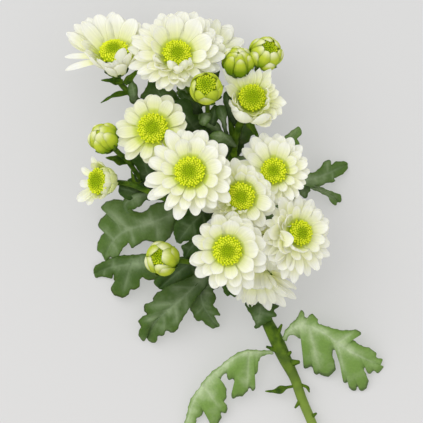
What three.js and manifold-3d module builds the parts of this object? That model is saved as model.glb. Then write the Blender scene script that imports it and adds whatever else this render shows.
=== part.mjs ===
// A cut spray chrysanthemum that lies on a table: one branching stem, twelve open heads, one
// half-open head, five buds and lobed leaves.
// Millimetres. +Z is up and the table is z = 0. The stem runs along Y, with the heads at +Y.
// Every list of places below is in the spray's own sheet: x to the right, y along the stem, z up.

import * as THREE from 'three';
import Module from 'manifold-3d';

const wasm = await Module();
wasm.setup();

// ---------------------------------------------------------------- driving dimensions

const GAP = 0.3; // air kept between two nodes that touch
const SHEET_TO_ORIGIN = [-7.9, 23.3, 0]; // moves the sheet so that its middle is at the origin

const DISC_HEIGHT = 2.9; // of a disc with the radius below; others are in proportion
const DISC_RADIUS = 7;
const DISC_PROFILE = [[1, 0], [0.97, 0.42], [0.74, 0.82], [0.4, 1]]; // shares of radius and height
const DISC_DIMPLE = 0.9; // height of its middle
const DISC_SIDES = 12;
const DISC_RELIEF = 0.3; // florets stand out of the disc by this much
const CUP_TOP = 3.8; // green cup, measured down from the disc's rim
const CUP_MIDDLE = 5.8;
const CUP_BOTTOM = 8.5;
const CUP_RADII = [1.4, 4.4, 5.9]; // bottom, middle, top
const STALK_SIDES = 5;
const STALK_STEPS = 3;
const STALK_GUIDE = 5; // a stalk runs along its head's axis for this last stretch
const PETAL_KEEL = 0.6; // a petal's spine stands this far below its middle
const PETAL_LIFT = 0.25; // and its edges this far above
const CLEARLY_HIGHER = 2; // a head this much above another presses its petals down
const OVERHANG = 4.6; // a higher head's petals hang this far below the plane of its disc
const OVERHANG_RISE = 0.12; // and rise by this much for each millimetre out
const STEEPEST_PRESS = -28; // furthest that a petal is pressed down, in degrees
const LEAF_HALF_THICKNESS = 0.5;
const STEM_SIDES = 7;
const STEM_STEPS = 13;

// Rows of petals, from the outside in. Each row grows out of a flat hub that is `lip` wider than
// the disc and lies between two heights over the disc's rim. Angles are degrees above the plane of
// the disc, at the petal's root and at its tip. Length is a share of the head's own petal length,
// and width a share of its room in the row.
const ROWS = {
  open: [
    { count: 10, lip: 1, hub: [-3.4, -2.4], root: 0, tip: 12, length: 1, width: 0.92 },
    { count: 9, lip: 0.6, hub: [-2.6, -1.4], root: 12, tip: 34, length: 0.93, width: 0.86 },
    { count: 5, lip: 0.2, hub: [-1.6, -0.35], root: 30, tip: 64, length: 0.7, width: 0.66 },
  ],
  rear: [
    { count: 10, lip: 1, hub: [-3.4, -2.4], root: 0, tip: 10, length: 1, width: 0.9 },
    { count: 8, lip: 0.6, hub: [-2.6, -0.35], root: 14, tip: 34, length: 0.9, width: 0.8 },
  ],
  cupped: [
    { count: 9, lip: 0.9, hub: [-3.4, -2], root: 20, tip: 56, length: 1, width: 0.92 },
    { count: 8, lip: 0.4, hub: [-2.2, -0.35], root: 44, tip: 86, length: 0.84, width: 0.9 },
  ],
  half: [
    { count: 7, lip: 0.9, hub: [-3.4, -2], root: 10, tip: 60, length: 1.3, width: 0.9 },
    { count: 7, lip: 0.4, hub: [-2.2, -0.35], root: 46, tip: 116, length: 1, width: 0.9 },
  ],
};
const NEIGHBOUR_ROOM = 0.45; // a petal's half-width stays within this share of its row's spacing

// Heads, highest first: the middle of the disc's rim, the lean of the head's axis along x and y,
// the disc's radius, the petals' length, the turn of the first petal in degrees, and the rows of
// petals where they aren't those of an open head. 13 is the half-open head.
const HEADS = [
  { name: '06', at: [-10.75, 19.75, 65], lean: [-0.15, 0.15], disc: 7.5, petal: 14.6, turn: 10 },
  { name: '09', at: [8, -19.5, 60], lean: [0, -0.1], disc: 7, petal: 11.6, turn: 0 },
  { name: '07', at: [14.75, 7.75, 57], lean: [-0.05, -0.15], disc: 6.7, petal: 11, turn: 20 },
  { name: '02', at: [-17.25, 78.75, 52], lean: [0.05, 0.28], disc: 7, petal: 13.6, turn: 5 },
  { name: '05', at: [-29.25, 41.5, 52], lean: [-0.15, 0.15], disc: 7.4, petal: 9.2, turn: 0 },
  { name: '04', at: [20, 56.75, 50], lean: [0.1, 0.15], disc: 6.6, petal: 10, turn: 15, rows: 'cupped' },
  { name: '08', at: [31.25, 20.25, 50], lean: [-0.12, 0.1], disc: 6.1, petal: 10.6, turn: 0 },
  { name: '10', at: [44.25, -10.75, 50], lean: [0.45, 0.05], disc: 6.2, petal: 11, turn: 12 },
  { name: '01', at: [-48.75, 82.25, 46], lean: [-0.1, 0.7], disc: 6.4, petal: 11, turn: 0 },
  { name: '12', at: [29.25, -13.25, 40], lean: [-0.1, -0.2], disc: 6, petal: 10, turn: 8, rows: 'rear' },
  { name: '03', at: [1.75, 83.25, 38], lean: [0.35, 0.55], disc: 6.4, petal: 11.6, turn: 0, rows: 'rear' },
  { name: '11', at: [24, -34, 28], lean: [0.1, -0.5], disc: 6.2, petal: 12, turn: 14, rows: 'rear' },
  { name: '13', at: [-55.5, 15.2, 43], lean: [-0.72, 0.05], disc: 6.3, petal: 8.8, turn: 0, rows: 'half' },
];

// Buds: the middle and the radius of the globe, and the disc's radius in those that are opening.
const BUDS = [
  { name: 'bud_01', at: [13.25, 74.75, 46], lean: [0, 0.35], radius: 7.4 },
  { name: 'bud_02', at: [27.25, 79.75, 44], lean: [0.36, 0.38], radius: 8.2, disc: 4.6 },
  { name: 'bud_03', at: [-2.7, 60.5, 61], lean: [-0.1, 0.5], radius: 8.5, disc: 5.7 },
  { name: 'bud_04', at: [-54, 36.9, 46], lean: [-0.5, 0.3], radius: 7.2 },
  { name: 'bud_05', at: [-24.9, -23.5, 42], lean: [-0.28, 0.26], radius: 8.2, disc: 3.9 },
];
const BUD_SIDES = 14;
const BUD_STEP = 0.55; // each petal of a bud overlaps the next by this much
const BUD_LATITUDES = [-58, -32, -6, 20]; // rings of every bud, in degrees
const CLOSED_LATITUDES = [46, 70]; // further rings of a closed one
const BUD_TWIST = 0.12; // turn of the petals from ring to ring
const MOUTH_WALL = 1.2; // from the disc's rim to the outside of the petals at the mouth
const MOUTH_CLEARANCE = 0.55; // from the disc's rim to their inside
const MOUTH_DEPTH = 1.8; // the disc's rim lies this far below the mouth
const MOUTH_WAVE = 0.6; // petal tips stand up and down at the mouth
const MOUTH_BEVEL = 0.3; // and slope inwards by this much
const BUD_CUP_DEPTHS = [5.4, 2.6, 0.4]; // green cup, measured down from the globe's lowest ring
const BUD_CUP_RADII = [1.3, 3.2, 4];

// The main stem, from the cut end to the top head.
const MAIN_STEM = [
  [64.75, -145, 2.45], [57, -124, 3.2], [50.3, -105.75, 4], [45.6, -94.25, 4.6], [42.4, -84.25, 5.2],
  [37.8, -74.25, 5.8], [33.4, -64.25, 6.4], [27.9, -54.25, 7.2], [20.25, -36.75, 9], [13.25, -15.75, 11],
  [7.25, 4.25, 13], [1.75, 24.25, 15], [-4.25, 43.25, 19], [-10.5, 60, 28],
];
const STEM_RADII = [2.5, 1.9]; // at the cut end and at the top

// Side branches: the points that each passes on its way to its head, with its radius.
const BRANCHES = {
  '01': { radius: 1.4, path: [[-3.25, 38.25, 17], [-25.75, 48.25, 22], [-39, 57.5, 29]] },
  '02': { radius: 1.7, path: [[-4.25, 43.25, 19], [-10.5, 60, 28]] },
  '03': { radius: 1.3, path: [[-7, 50.75, 22], [0, 65.75, 24]] },
  '04': { radius: 1.4, path: [[10.25, 28.25, 20], [13.5, 42, 27], [18, 50, 34]] },
  '05': { radius: 1.3, path: [[0, 28, 15.5], [-14, 34, 24], [-25.5, 38.5, 34]] },
  '06': { radius: 1.5, path: [[4, 14, 14], [-4, 16, 28]] },
  '07': { radius: 1.4, path: [[10.25, -4.25, 12], [13.5, 3, 26]] },
  '08': { radius: 1.4, path: [[7.5, 3.25, 13], [19, 9, 21], [30, 16.5, 31]] },
  '09': { radius: 1.4, path: [[16.5, -26, 10], [10.5, -20.5, 26]] },
  '10': { radius: 1.4, path: [[19.25, -33, 9.3], [31.75, -24.25, 18], [38.5, -14.5, 31]] },
  '11': { radius: 1.4, path: [[20.5, -37.5, 8.8], [21.5, -31.5, 13]] },
  '12': { radius: 1.3, path: [[16, -24, 10.2], [27, -13.5, 20]] },
  '13': { radius: 1.4, path: [[8.5, 0.5, 12.6], [-10, 1, 22], [-26, 7.5, 31], [-40, 13.5, 36]] },
  bud_01: { radius: 1.2, path: [[11, 33, 22.5], [9.8, 45, 27], [10, 60, 32]] },
  bud_02: { radius: 1.2, path: [[12.6, 40, 26], [20, 56, 29], [23.6, 69, 31]] },
  bud_03: { radius: 1.2, path: [[-3.25, 38.25, 17], [-2, 47.5, 30], [-2, 55, 44]] },
  bud_04: {
    radius: 1.3,
    path: [[5.5, 9, 13.4], [-12, 7, 17], [-27, 9, 21], [-35, 16, 25], [-43, 26.5, 31]],
  },
  bud_05: { radius: 1.3, path: [[13.25, -16.75, 11], [-3, -25.25, 14], [-18.25, -25.25, 24]] },
};
const TRUNK_STEPS = 3;
const TRUNK = {
  radii: [1.8, 1.5],
  path: [[5.25, 13.25, 14], [9, 24, 18.5], [11.6, 36, 24], [13.5, 42, 27]],
};

// Stubs and nodes on the stem: root, tip and radius at the root.
const STUB_WAIST = 0.6; // place and size of their middle, as shares
const STUB_TIP = 0.35;
const STUBS = [
  { from: [36.5, -71.5, 6], to: [39.6, -70, 8.6], radius: 1.6 },
  { from: [38.5, -74.5, 5.6], to: [43.6, -73.2, 7.4], radius: 2 },
  { from: [35.5, -71, 6], to: [27.6, -68, 8], radius: 1.7 },
  { from: [32.5, -63, 6.5], to: [35.4, -56.8, 8.6], radius: 1.7 },
  { from: [45.5, -94.5, 4.6], to: [42, -99, 5.6], radius: 1.5 },
  { from: [49.5, -104, 4], to: [52.9, -101.6, 6.4], radius: 1.5 },
];

// Bracts: thin blades that belong to the stem. Half-widths run from the root to the tip.
const BRACTS = [
  {
    spine: [[43.4, -87, 5], [34.25, -88.5, 7.4], [29, -90.6, 4.4], [26.4, -90, 2.4]],
    half: [0.8, 0.7, 2, 0.9],
  },
  { spine: [[43.6, -86.8, 5], [48.25, -88.6, 7], [49.4, -91.2, 5]], half: [0.9, 0.8, 0.8] },
  { spine: [[-40.2, 59.8, 30.4], [-48.3, 58.5, 33], [-55.7, 54.4, 33]], half: [1, 1.4, 0.8] },
  { spine: [[-44.4, 65, 35], [-49, 65.6, 37.5], [-55.4, 65.8, 38.5]], half: [1.2, 2, 1] },
  { spine: [[19.2, 51, 36], [22.6, 44.2, 36], [26.4, 44.6, 37]], half: [0.9, 1.1, 0.8] },
  { spine: [[17, 47.6, 31], [22.4, 39, 32], [24.2, 35.8, 32]], half: [0.9, 2.1, 1] },
  { spine: [[11.6, 34, 24], [11.6, 27, 34], [15.2, 20.8, 46]], half: [0.9, 1.4, 0.9] },
  { spine: [[-33.4, 14.6, 24.6], [-38.2, 13.6, 32], [-40.4, 20.8, 33]], half: [1.1, 1.7, 0.9] },
  { spine: [[-41.8, 24.6, 30], [-48, 26.4, 32], [-53.2, 27, 32]], half: [1, 2.6, 1.4] },
];

// Leaves: points along the midrib, and half-widths at shares of its length, right and left as one
// looks from the leaf's root to its tip. `slant` turns the side veins towards the tip, in degrees
// at the root and at the tip, and `fall` lowers each edge, in degrees.
const LEAVES = [
  {
    name: 'leaf_lower_right',
    spine: [[36.4, -64.4, 7.4], [42.25, -58.75, 14], [50.75, -57.25, 18], [59.75, -61.75, 17],
      [68.25, -67.75, 14], [76.25, -72.75, 9], [84.75, -77.75, 3]],
    right: [[0, 0.9], [0.13, 1.4], [0.17, 5], [0.2, 20], [0.24, 23], [0.3, 25.5], [0.36, 21], [0.41, 9.5],
      [0.46, 10.5], [0.51, 19.5], [0.57, 23], [0.62, 19], [0.66, 20], [0.72, 10.5], [0.77, 2.6],
      [0.85, 5], [0.93, 3.6]],
    left: [[0, 0.9], [0.11, 1.5], [0.16, 8.6], [0.2, 4.4], [0.25, 6.4], [0.33, 2.4], [0.42, 3.4], [0.5, 7],
      [0.56, 10.5], [0.61, 5.4], [0.7, 4.6], [0.8, 4.8], [0.92, 3.6]],
    slant: [24, 56], fall: [34, 10],
  },
  {
    name: 'leaf_lower_left',
    spine: [[31, -70.4, 7.2], [23.25, -70.25, 13], [14.75, -69.75, 16], [5.25, -75.25, 15],
      [-3.25, -84.75, 11], [-9.25, -96.25, 6], [-13.75, -109.25, 2], [-16.75, -118.25, 1]],
    right: [[0, 0.9], [0.12, 2], [0.3, 3], [0.45, 4], [0.6, 3.4], [0.75, 5], [0.9, 3]],
    left: [[0, 0.9], [0.08, 1.6], [0.11, 9], [0.14, 18.5], [0.19, 20], [0.23, 23], [0.27, 18.6], [0.3, 11],
      [0.35, 4.6], [0.4, 5.6], [0.45, 17], [0.51, 18.6], [0.58, 17.6], [0.64, 9], [0.71, 5],
      [0.78, 8], [0.88, 6]],
    slant: [4, 34], fall: [30, 22],
  },
  {
    name: 'leaf_bottom',
    spine: [[9.6, -19.6, 13.6], [0.25, -25.25, 18], [-4.25, -33.25, 20], [-10.75, -40.25, 18],
      [-18.25, -47.25, 14], [-24.75, -54.25, 8], [-30.75, -64.25, 1]],
    right: [[0, 1], [0.2, 1.8], [0.3, 7], [0.41, 12.5], [0.48, 8.5], [0.56, 12], [0.62, 8.5], [0.7, 11],
      [0.77, 8], [0.86, 8.6], [0.94, 5.6]],
    left: [[0, 1], [0.16, 2], [0.22, 12], [0.27, 15], [0.32, 24], [0.38, 19], [0.44, 14.5], [0.49, 5.4],
      [0.56, 6.6], [0.66, 9.6], [0.74, 9.4], [0.8, 5.6], [0.88, 6.6], [0.95, 5]],
    slant: [30, 42], fall: [14, 10],
  },
  {
    name: 'leaf_left_upper',
    spine: [[3, 2.4, 15.6], [-12, 2.6, 22], [-22.75, -1.5, 24], [-30, -5.25, 20], [-38.25, -7.25, 14],
      [-45.75, -11.25, 8], [-50.75, -16.25, 4], [-53.25, -22.4, 1]],
    right: [[0, 1], [0.2, 1.6], [0.3, 6], [0.42, 7.6], [0.5, 8], [0.56, 9], [0.6, 19.5], [0.66, 18],
      [0.7, 9], [0.74, 13], [0.8, 11], [0.86, 5.4], [0.93, 5]],
    left: [[0, 1], [0.2, 1.6], [0.25, 13], [0.31, 16], [0.38, 9.6], [0.46, 9], [0.54, 10.4], [0.6, 12.8],
      [0.65, 8.4], [0.74, 9], [0.8, 6.4], [0.87, 9], [0.95, 4]],
    slant: [16, 50], fall: [6, 12],
  },
  {
    name: 'leaf_left_lower',
    spine: [[9.6, -12.4, 11.4], [-11.75, -25.25, 14], [-23.25, -25.25, 13], [-33.25, -25.75, 10],
      [-43.25, -26.75, 6], [-51.75, -28.25, 3], [-58.75, -30.25, 1]],
    right: [[0, 1], [0.36, 1.4], [0.48, 4], [0.7, 4.6], [0.84, 4.4], [0.94, 3.2]],
    left: [[0, 1], [0.34, 1.6], [0.46, 8], [0.54, 7], [0.6, 9.6], [0.65, 15], [0.69, 17.4], [0.74, 15.6],
      [0.79, 9], [0.83, 4], [0.87, 3.4], [0.9, 6.4], [0.95, 3.6]],
    slant: [16, 34], fall: [8, 12],
  },
  {
    name: 'leaf_right',
    spine: [[14.5, 5.2, 14.8], [34, 8, 19], [44.25, 14.75, 13], [50.75, 17.25, 9], [57.75, 19.75, 5.4],
      [64.25, 22.25, 2.6], [68.75, 23.75, 1]],
    right: [[0, 1], [0.4, 1.2], [0.5, 4], [0.54, 9.6], [0.6, 9], [0.64, 5], [0.68, 18], [0.71, 18.4],
      [0.74, 4.6], [0.8, 4.4], [0.84, 6.6], [0.9, 4], [0.96, 2.6]],
    left: [[0, 1], [0.4, 1.2], [0.5, 3.6], [0.66, 3.8], [0.72, 5.4], [0.77, 7.6], [0.81, 3.4],
      [0.88, 4.4], [0.96, 3]],
    slant: [34, 40], fall: [6, 4],
  },
  {
    name: 'leaf_upper_right',
    spine: [[9.8, 26, 20], [20, 28, 30], [33, 33, 33], [39.5, 37.5, 33.6], [45, 42.6, 34]],
    right: [[0, 0.9], [0.4, 1.2], [0.62, 3.2], [0.74, 3.6], [0.8, 7], [0.86, 2.8], [0.95, 2.2]],
    left: [[0, 0.9], [0.4, 1.2], [0.66, 3], [0.8, 3.6], [0.92, 3]],
    slant: [20, 40], fall: [6, 6],
  },
  {
    name: 'leaf_below_stem_top',
    spine: [[15.4, -21.6, 11.4], [12.6, -28, 16], [11, -35, 19], [8.6, -40.8, 20]],
    right: [[0, 0.9], [0.3, 2], [0.6, 4.4], [0.76, 3.4], [0.88, 3]],
    left: [[0, 0.9], [0.3, 2], [0.56, 4.6], [0.72, 6.4], [0.82, 3.6], [0.92, 2.6]],
    slant: [20, 30], fall: [10, 10],
  },
  {
    name: 'leaf_under_head_11',
    spine: [[27.4, -56.6, 9], [26, -50.5, 13], [25.4, -44, 16], [24.6, -36, 17]],
    right: [[0, 0.9], [0.2, 2.6], [0.36, 6.4], [0.48, 5.2], [0.62, 8.6], [0.76, 6]],
    left: [[0, 0.9], [0.1, 3.6], [0.22, 3], [0.4, 6], [0.6, 8.8], [0.78, 6]],
    slant: [20, 26], fall: [8, 8],
  },
  {
    name: 'leaf_inner_a',
    spine: [[-2.6, 41.4, 21.6], [-7.75, 49.75, 27], [-11.75, 54.75, 30], [-16, 60.4, 31]],
    right: [[0, 0.9], [0.3, 3], [0.5, 4.6], [0.7, 3], [0.88, 2.6]],
    left: [[0, 0.9], [0.3, 3.4], [0.46, 5.8], [0.6, 3.4], [0.88, 2.4]],
    slant: [20, 30], fall: [8, 8],
  },
  {
    name: 'leaf_inner_b',
    spine: [[8.8, 33.6, 24], [4.6, 42, 29], [0, 46.6, 32], [-5.4, 49.8, 33]],
    right: [[0, 0.9], [0.3, 3], [0.6, 4.8], [0.86, 3]],
    left: [[0, 0.9], [0.3, 3], [0.6, 5], [0.86, 3.2]],
    slant: [16, 30], fall: [8, 8],
  },
  {
    name: 'leaf_inner_c',
    spine: [[8.4, 27.6, 20.4], [3, 35.6, 23], [-2.6, 39.6, 25.4], [-7, 40.8, 26]],
    right: [[0, 0.9], [0.3, 3], [0.6, 4], [0.86, 2.4]],
    left: [[0, 0.9], [0.3, 2.6], [0.6, 4], [0.86, 2.4]],
    slant: [16, 30], fall: [8, 8],
  },
  {
    name: 'leaf_inner_d',
    spine: [[12.4, 32, 26.6], [8, 33.6, 33], [4, 35.4, 36], [-0.4, 34.6, 37]],
    right: [[0, 0.9], [0.4, 2.4], [0.7, 2.6], [0.9, 1.6]],
    left: [[0, 0.9], [0.34, 3], [0.6, 4.6], [0.8, 4.4], [0.92, 2]],
    slant: [16, 36], fall: [8, 8],
  },
  {
    name: 'leaf_under_head_01',
    spine: [[-34.6, 54, 29], [-38.4, 55.6, 33], [-39.2, 60, 35], [-40.4, 66, 36]],
    right: [[0, 0.9], [0.4, 2.6], [0.7, 2.6], [0.9, 1.6]],
    left: [[0, 0.9], [0.4, 2.6], [0.7, 2.4], [0.9, 1.6]],
    slant: [16, 30], fall: [14, 14],
  },
  {
    name: 'leaf_between_heads',
    spine: [[-18, 45.4, 20.8], [-21.4, 52.6, 28], [-25.4, 59.4, 31], [-29.4, 65.6, 32]],
    right: [[0, 0.9], [0.3, 3.6], [0.48, 5.4], [0.7, 3.4], [0.88, 2]],
    left: [[0, 0.9], [0.3, 2.6], [0.52, 4], [0.7, 3], [0.84, 3.4]],
    slant: [20, 34], fall: [8, 8],
  },
  {
    name: 'leaf_behind_head_02',
    spine: [[-0.6, 63.2, 25], [3.4, 63, 29.4], [4.6, 66.8, 31.6], [2.2, 71.6, 33]],
    right: [[0, 0.9], [0.5, 1.8], [0.8, 2.2]],
    left: [[0, 0.9], [0.5, 1.8], [0.8, 2.4]],
    slant: [16, 26], fall: [8, 8],
  },
  {
    name: 'leaf_left_spiked',
    spine: [[-28.2, 11.4, 24], [-31.6, 15, 27], [-33.4, 22, 29], [-34.2, 29, 30]],
    right: [[0, 0.9], [0.12, 4.6], [0.24, 2.4], [0.38, 4.8], [0.5, 2.6], [0.62, 5], [0.76, 2.2],
      [0.9, 1.6]],
    left: [[0, 0.9], [0.3, 2], [0.5, 2.6], [0.68, 4.4], [0.82, 6.6], [0.93, 2.4]],
    slant: [14, 24], fall: [8, 8],
  },
  {
    name: 'leaf_centre_dark',
    spine: [[5.4, -2.4, 15], [-1, 0.6, 23], [-8, -4.4, 27], [-13, -10, 27], [-17.6, -15.6, 26]],
    right: [[0, 1], [0.3, 3], [0.5, 7], [0.7, 7.6], [0.88, 4.4]],
    left: [[0, 1], [0.3, 4], [0.44, 7.6], [0.54, 5.4], [0.64, 8], [0.76, 5], [0.9, 3]],
    slant: [16, 30], fall: [8, 8],
  },
  {
    name: 'leaf_left_curled',
    spine: [[-21.4, 5.6, 26], [-29, 8, 30], [-37.6, 7.4, 32], [-43.4, 3.4, 30], [-42.4, -1, 28]],
    right: [[0, 0.9], [0.4, 1.6], [0.62, 2], [0.8, 2.2]],
    left: [[0, 0.9], [0.4, 2.4], [0.58, 5.6], [0.76, 4.2], [0.9, 2.6]],
    slant: [10, 14], fall: [20, 6],
  },
  {
    name: 'leaf_centre_low',
    spine: [[11.4, -14, 13], [1, -9, 19], [-5.4, -13.4, 20], [-10, -18, 19], [-14, -23.4, 17]],
    right: [[0, 0.9], [0.4, 2.4], [0.56, 3], [0.66, 5.4], [0.74, 3], [0.84, 4.6], [0.92, 2]],
    left: [[0, 0.9], [0.4, 3], [0.6, 5], [0.8, 4], [0.92, 2.4]],
    slant: [16, 30], fall: [8, 8],
  },
  {
    name: 'leaf_rest_left',
    spine: [[2.2, 18.8, 13], [-6, 18, 5], [-14, 17, 0], [-25, 15.4, 0], [-36, 14, 0]],
    right: [[0, 1], [0.3, 3], [0.44, 8], [0.54, 6], [0.64, 9.4], [0.74, 6], [0.84, 7.4], [0.93, 4]],
    left: [[0, 1], [0.3, 3], [0.44, 8], [0.54, 6], [0.64, 9.4], [0.74, 6], [0.84, 7.4], [0.93, 4]],
    slant: [20, 40], fall: [0, 0],
  },
  {
    name: 'leaf_rest_right',
    spine: [[14.6, -10, 10.6], [19.6, -6.6, 4], [25, -3, 0], [34, 2.4, 0], [43, 6, 0]],
    right: [[0, 1], [0.3, 3], [0.44, 7.4], [0.54, 5], [0.64, 8.6], [0.74, 5], [0.84, 6.4], [0.93, 3.4]],
    left: [[0, 1], [0.3, 3], [0.44, 7.4], [0.54, 5], [0.64, 8.6], [0.74, 5], [0.84, 6.4], [0.93, 3.4]],
    slant: [20, 40], fall: [0, 0],
  },
  {
    name: 'leaf_rest_top',
    spine: [[-5, 46.8, 18], [-8.4, 54, 8], [-11, 61, 0], [-15, 71, 0], [-20, 82, 0]],
    right: [[0, 1], [0.3, 3], [0.46, 7.4], [0.56, 5], [0.66, 8.6], [0.76, 5], [0.86, 6.4], [0.94, 3.4]],
    left: [[0, 1], [0.3, 3], [0.46, 7.4], [0.56, 5], [0.66, 8.6], [0.76, 5], [0.86, 6.4], [0.94, 3.4]],
    slant: [20, 40], fall: [0, 0],
  },
];

const COLOURS = {
  petals: { color: 0xf2f2e4, roughness: 0.62, metalness: 0 },
  buds: { color: 0xdfe6a8, roughness: 0.6, metalness: 0 },
  discs: { color: 0xb8c928, roughness: 0.7, metalness: 0 },
  stem: { color: 0x6d8a35, roughness: 0.6, metalness: 0 },
  leaves: { color: 0x5d7a4a, roughness: 0.6, metalness: 0 },
};

// ---------------------------------------------------------------- small helpers

const DEGREE = Math.PI / 180;
const TURN = 2 * Math.PI;
const UP = new THREE.Vector3(0, 0, 1);

const vector = (point) => new THREE.Vector3(...point);
const mix = (from, to, share) => from + (to - from) * share;

/** A repeatable number between -1 and 1 for one item of one group. */
function jitter(group, item) {
  const wave = Math.sin(group * 12.9898 + item * 78.233) * 43758.5453;
  return (wave - Math.floor(wave)) * 2 - 1;
}

/** Value at `share` on a line through [share, value] pairs, flat before the first. */
function valueAt(pairs, share, last) {
  const knots = [...pairs, [1, last]];
  const next = knots.findIndex(([place]) => place > share);
  if (next === 0) return knots[0][1];
  if (next < 0) return last;
  const [placeA, valueA] = knots[next - 1];
  const [placeB, valueB] = knots[next];
  return mix(valueA, valueB, (share - placeA) / (placeB - placeA));
}

// ---------------------------------------------------------------- solids

/** Six times the volume that the triangles close in, with its sign. */
function signedVolume(points, triangles) {
  return triangles.reduce((sum, [a, b, c]) => {
    const cross = new THREE.Vector3().crossVectors(points[b], points[c]);
    return sum + points[a].dot(cross);
  }, 0);
}

/** A solid from points and triangles, with its faces turned outwards. */
function solidOf(points, triangles) {
  if (signedVolume(points, triangles) < 0) triangles.forEach((triangle) => triangle.reverse());
  const vertProperties = new Float32Array(points.flatMap((point) => point.toArray()));
  const triVerts = new Uint32Array(triangles.flat());
  return new wasm.Manifold(new wasm.Mesh({ numProp: 3, vertProperties, triVerts }));
}

/** A closed solid through rings with equal numbers of points. An end closes on a point, or flat. */
function loft(rings, { start = null, end = null, alike = false } = {}) {
  const count = rings[0].length;
  const points = rings.flat();
  const triangles = [];
  for (let ring = 0; ring + 1 < rings.length; ring += 1) {
    for (let side = 0; side < count; side += 1) {
      const a = ring * count + side;
      const b = ring * count + ((side + 1) % count);
      if (alike && side % 2 === 1) triangles.push([a, b, a + count], [b, b + count, a + count]);
      else triangles.push([a, b, b + count], [a, b + count, a + count]);
    }
  }
  const lastRing = (rings.length - 1) * count;
  if (start) {
    const tip = points.push(start) - 1;
    for (let side = 0; side < count; side += 1) triangles.push([tip, (side + 1) % count, side]);
  } else {
    for (let side = 1; side + 1 < count; side += 1) triangles.push([0, side + 1, side]);
  }
  if (end) {
    const tip = points.push(end) - 1;
    for (let side = 0; side < count; side += 1) {
      triangles.push([tip, lastRing + side, lastRing + ((side + 1) % count)]);
    }
  } else {
    for (let side = 1; side + 1 < count; side += 1) {
      triangles.push([lastRing, lastRing + side, lastRing + side + 1]);
    }
  }
  return solidOf(points, triangles);
}

const join = (solids) => solids.reduce((whole, solid) => whole.add(solid));

/** A round rod through the points, with a radius for each, turned as little as it can be. */
function rod(points, radii, sides) {
  let across = new THREE.Vector3(1, 0, 0);
  const rings = points.map((point, index) => {
    const before = points[Math.max(index - 1, 0)];
    const after = points[Math.min(index + 1, points.length - 1)];
    const along = after.clone().sub(before).normalize();
    across = across.clone().addScaledVector(along, -across.dot(along)).normalize();
    const beside = new THREE.Vector3().crossVectors(along, across);
    return Array.from({ length: sides }, (_, side) => {
      const angle = (side / sides) * TURN;
      return point.clone()
        .addScaledVector(across, Math.cos(angle) * radii[index])
        .addScaledVector(beside, Math.sin(angle) * radii[index]);
    });
  });
  return loft(rings);
}

/** The axes of a head: its place, its axis and two directions across it. */
function headFrame({ at, lean }) {
  const axis = new THREE.Vector3(lean[0], lean[1], Math.sqrt(1 - lean[0] ** 2 - lean[1] ** 2));
  const right = new THREE.Vector3(1, 0, 0).addScaledVector(axis, -axis.x).normalize();
  const ahead = new THREE.Vector3().crossVectors(axis, right);
  return { origin: vector(at), axis, right, ahead };
}

/** A point of a head, from its distance to the axis, its height over the rim and its azimuth. */
function headPoint({ origin, axis, right, ahead }, radius, height, azimuth) {
  return origin.clone()
    .addScaledVector(right, radius * Math.cos(azimuth))
    .addScaledVector(ahead, radius * Math.sin(azimuth))
    .addScaledVector(axis, height);
}

// ---------------------------------------------------------------- heads

// Shares of a petal's length, with the shares of its full width and of its keel there.
const WIDEST_AT = 0.45;
const PETAL_STATIONS = [[WIDEST_AT, 0.96, 1], [0.85, 0.8, 0.8]];
// How far petals differ from each other: degrees of azimuth, bend and roll, and share of length.
const PETAL_SPREAD = { azimuth: 2, bend: 5, roll: 5, length: 0.07 };
const FAT_HALF_WIDTH = 0.5; // how much wider and longer a petal's keep-out is
const FAT_LENGTH = 0.6;
const FAT_HUB = 0.7;

/** Places on one petal: its middle line is an arc from the root angle to the tip angle. */
function petalPlaces(frame, { radius, height, root, tip, length, azimuth, roll }) {
  const bend = Math.max(tip - root, 0.01);
  const beside = headPoint(frame, 1, 0, azimuth + Math.PI / 2).sub(frame.origin);
  const out = headPoint(frame, 1, 0, azimuth).sub(frame.origin);
  const reachAt = (share) => radius + (length * (Math.sin(root + bend * share) - Math.sin(root))) / bend;
  const place = (share, side, rise) => {
    const angle = root + bend * share;
    const above = height - (length * (Math.cos(angle) - Math.cos(root))) / bend;
    const normal = out.clone().multiplyScalar(-Math.sin(angle))
      .addScaledVector(frame.axis, Math.cos(angle));
    return headPoint(frame, reachAt(share), above, azimuth)
      .addScaledVector(beside, side * Math.cos(roll))
      .addScaledVector(normal, rise + side * Math.sin(roll));
  };
  return { place, reachAt };
}

/** Half of a petal's width at a share of its length, kept off the petals beside it. */
function halfWidth({ width, count }, reach, wide) {
  return Math.min((width * wide) / 2, (NEIGHBOUR_ROOM * TURN * reach) / count);
}

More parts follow.
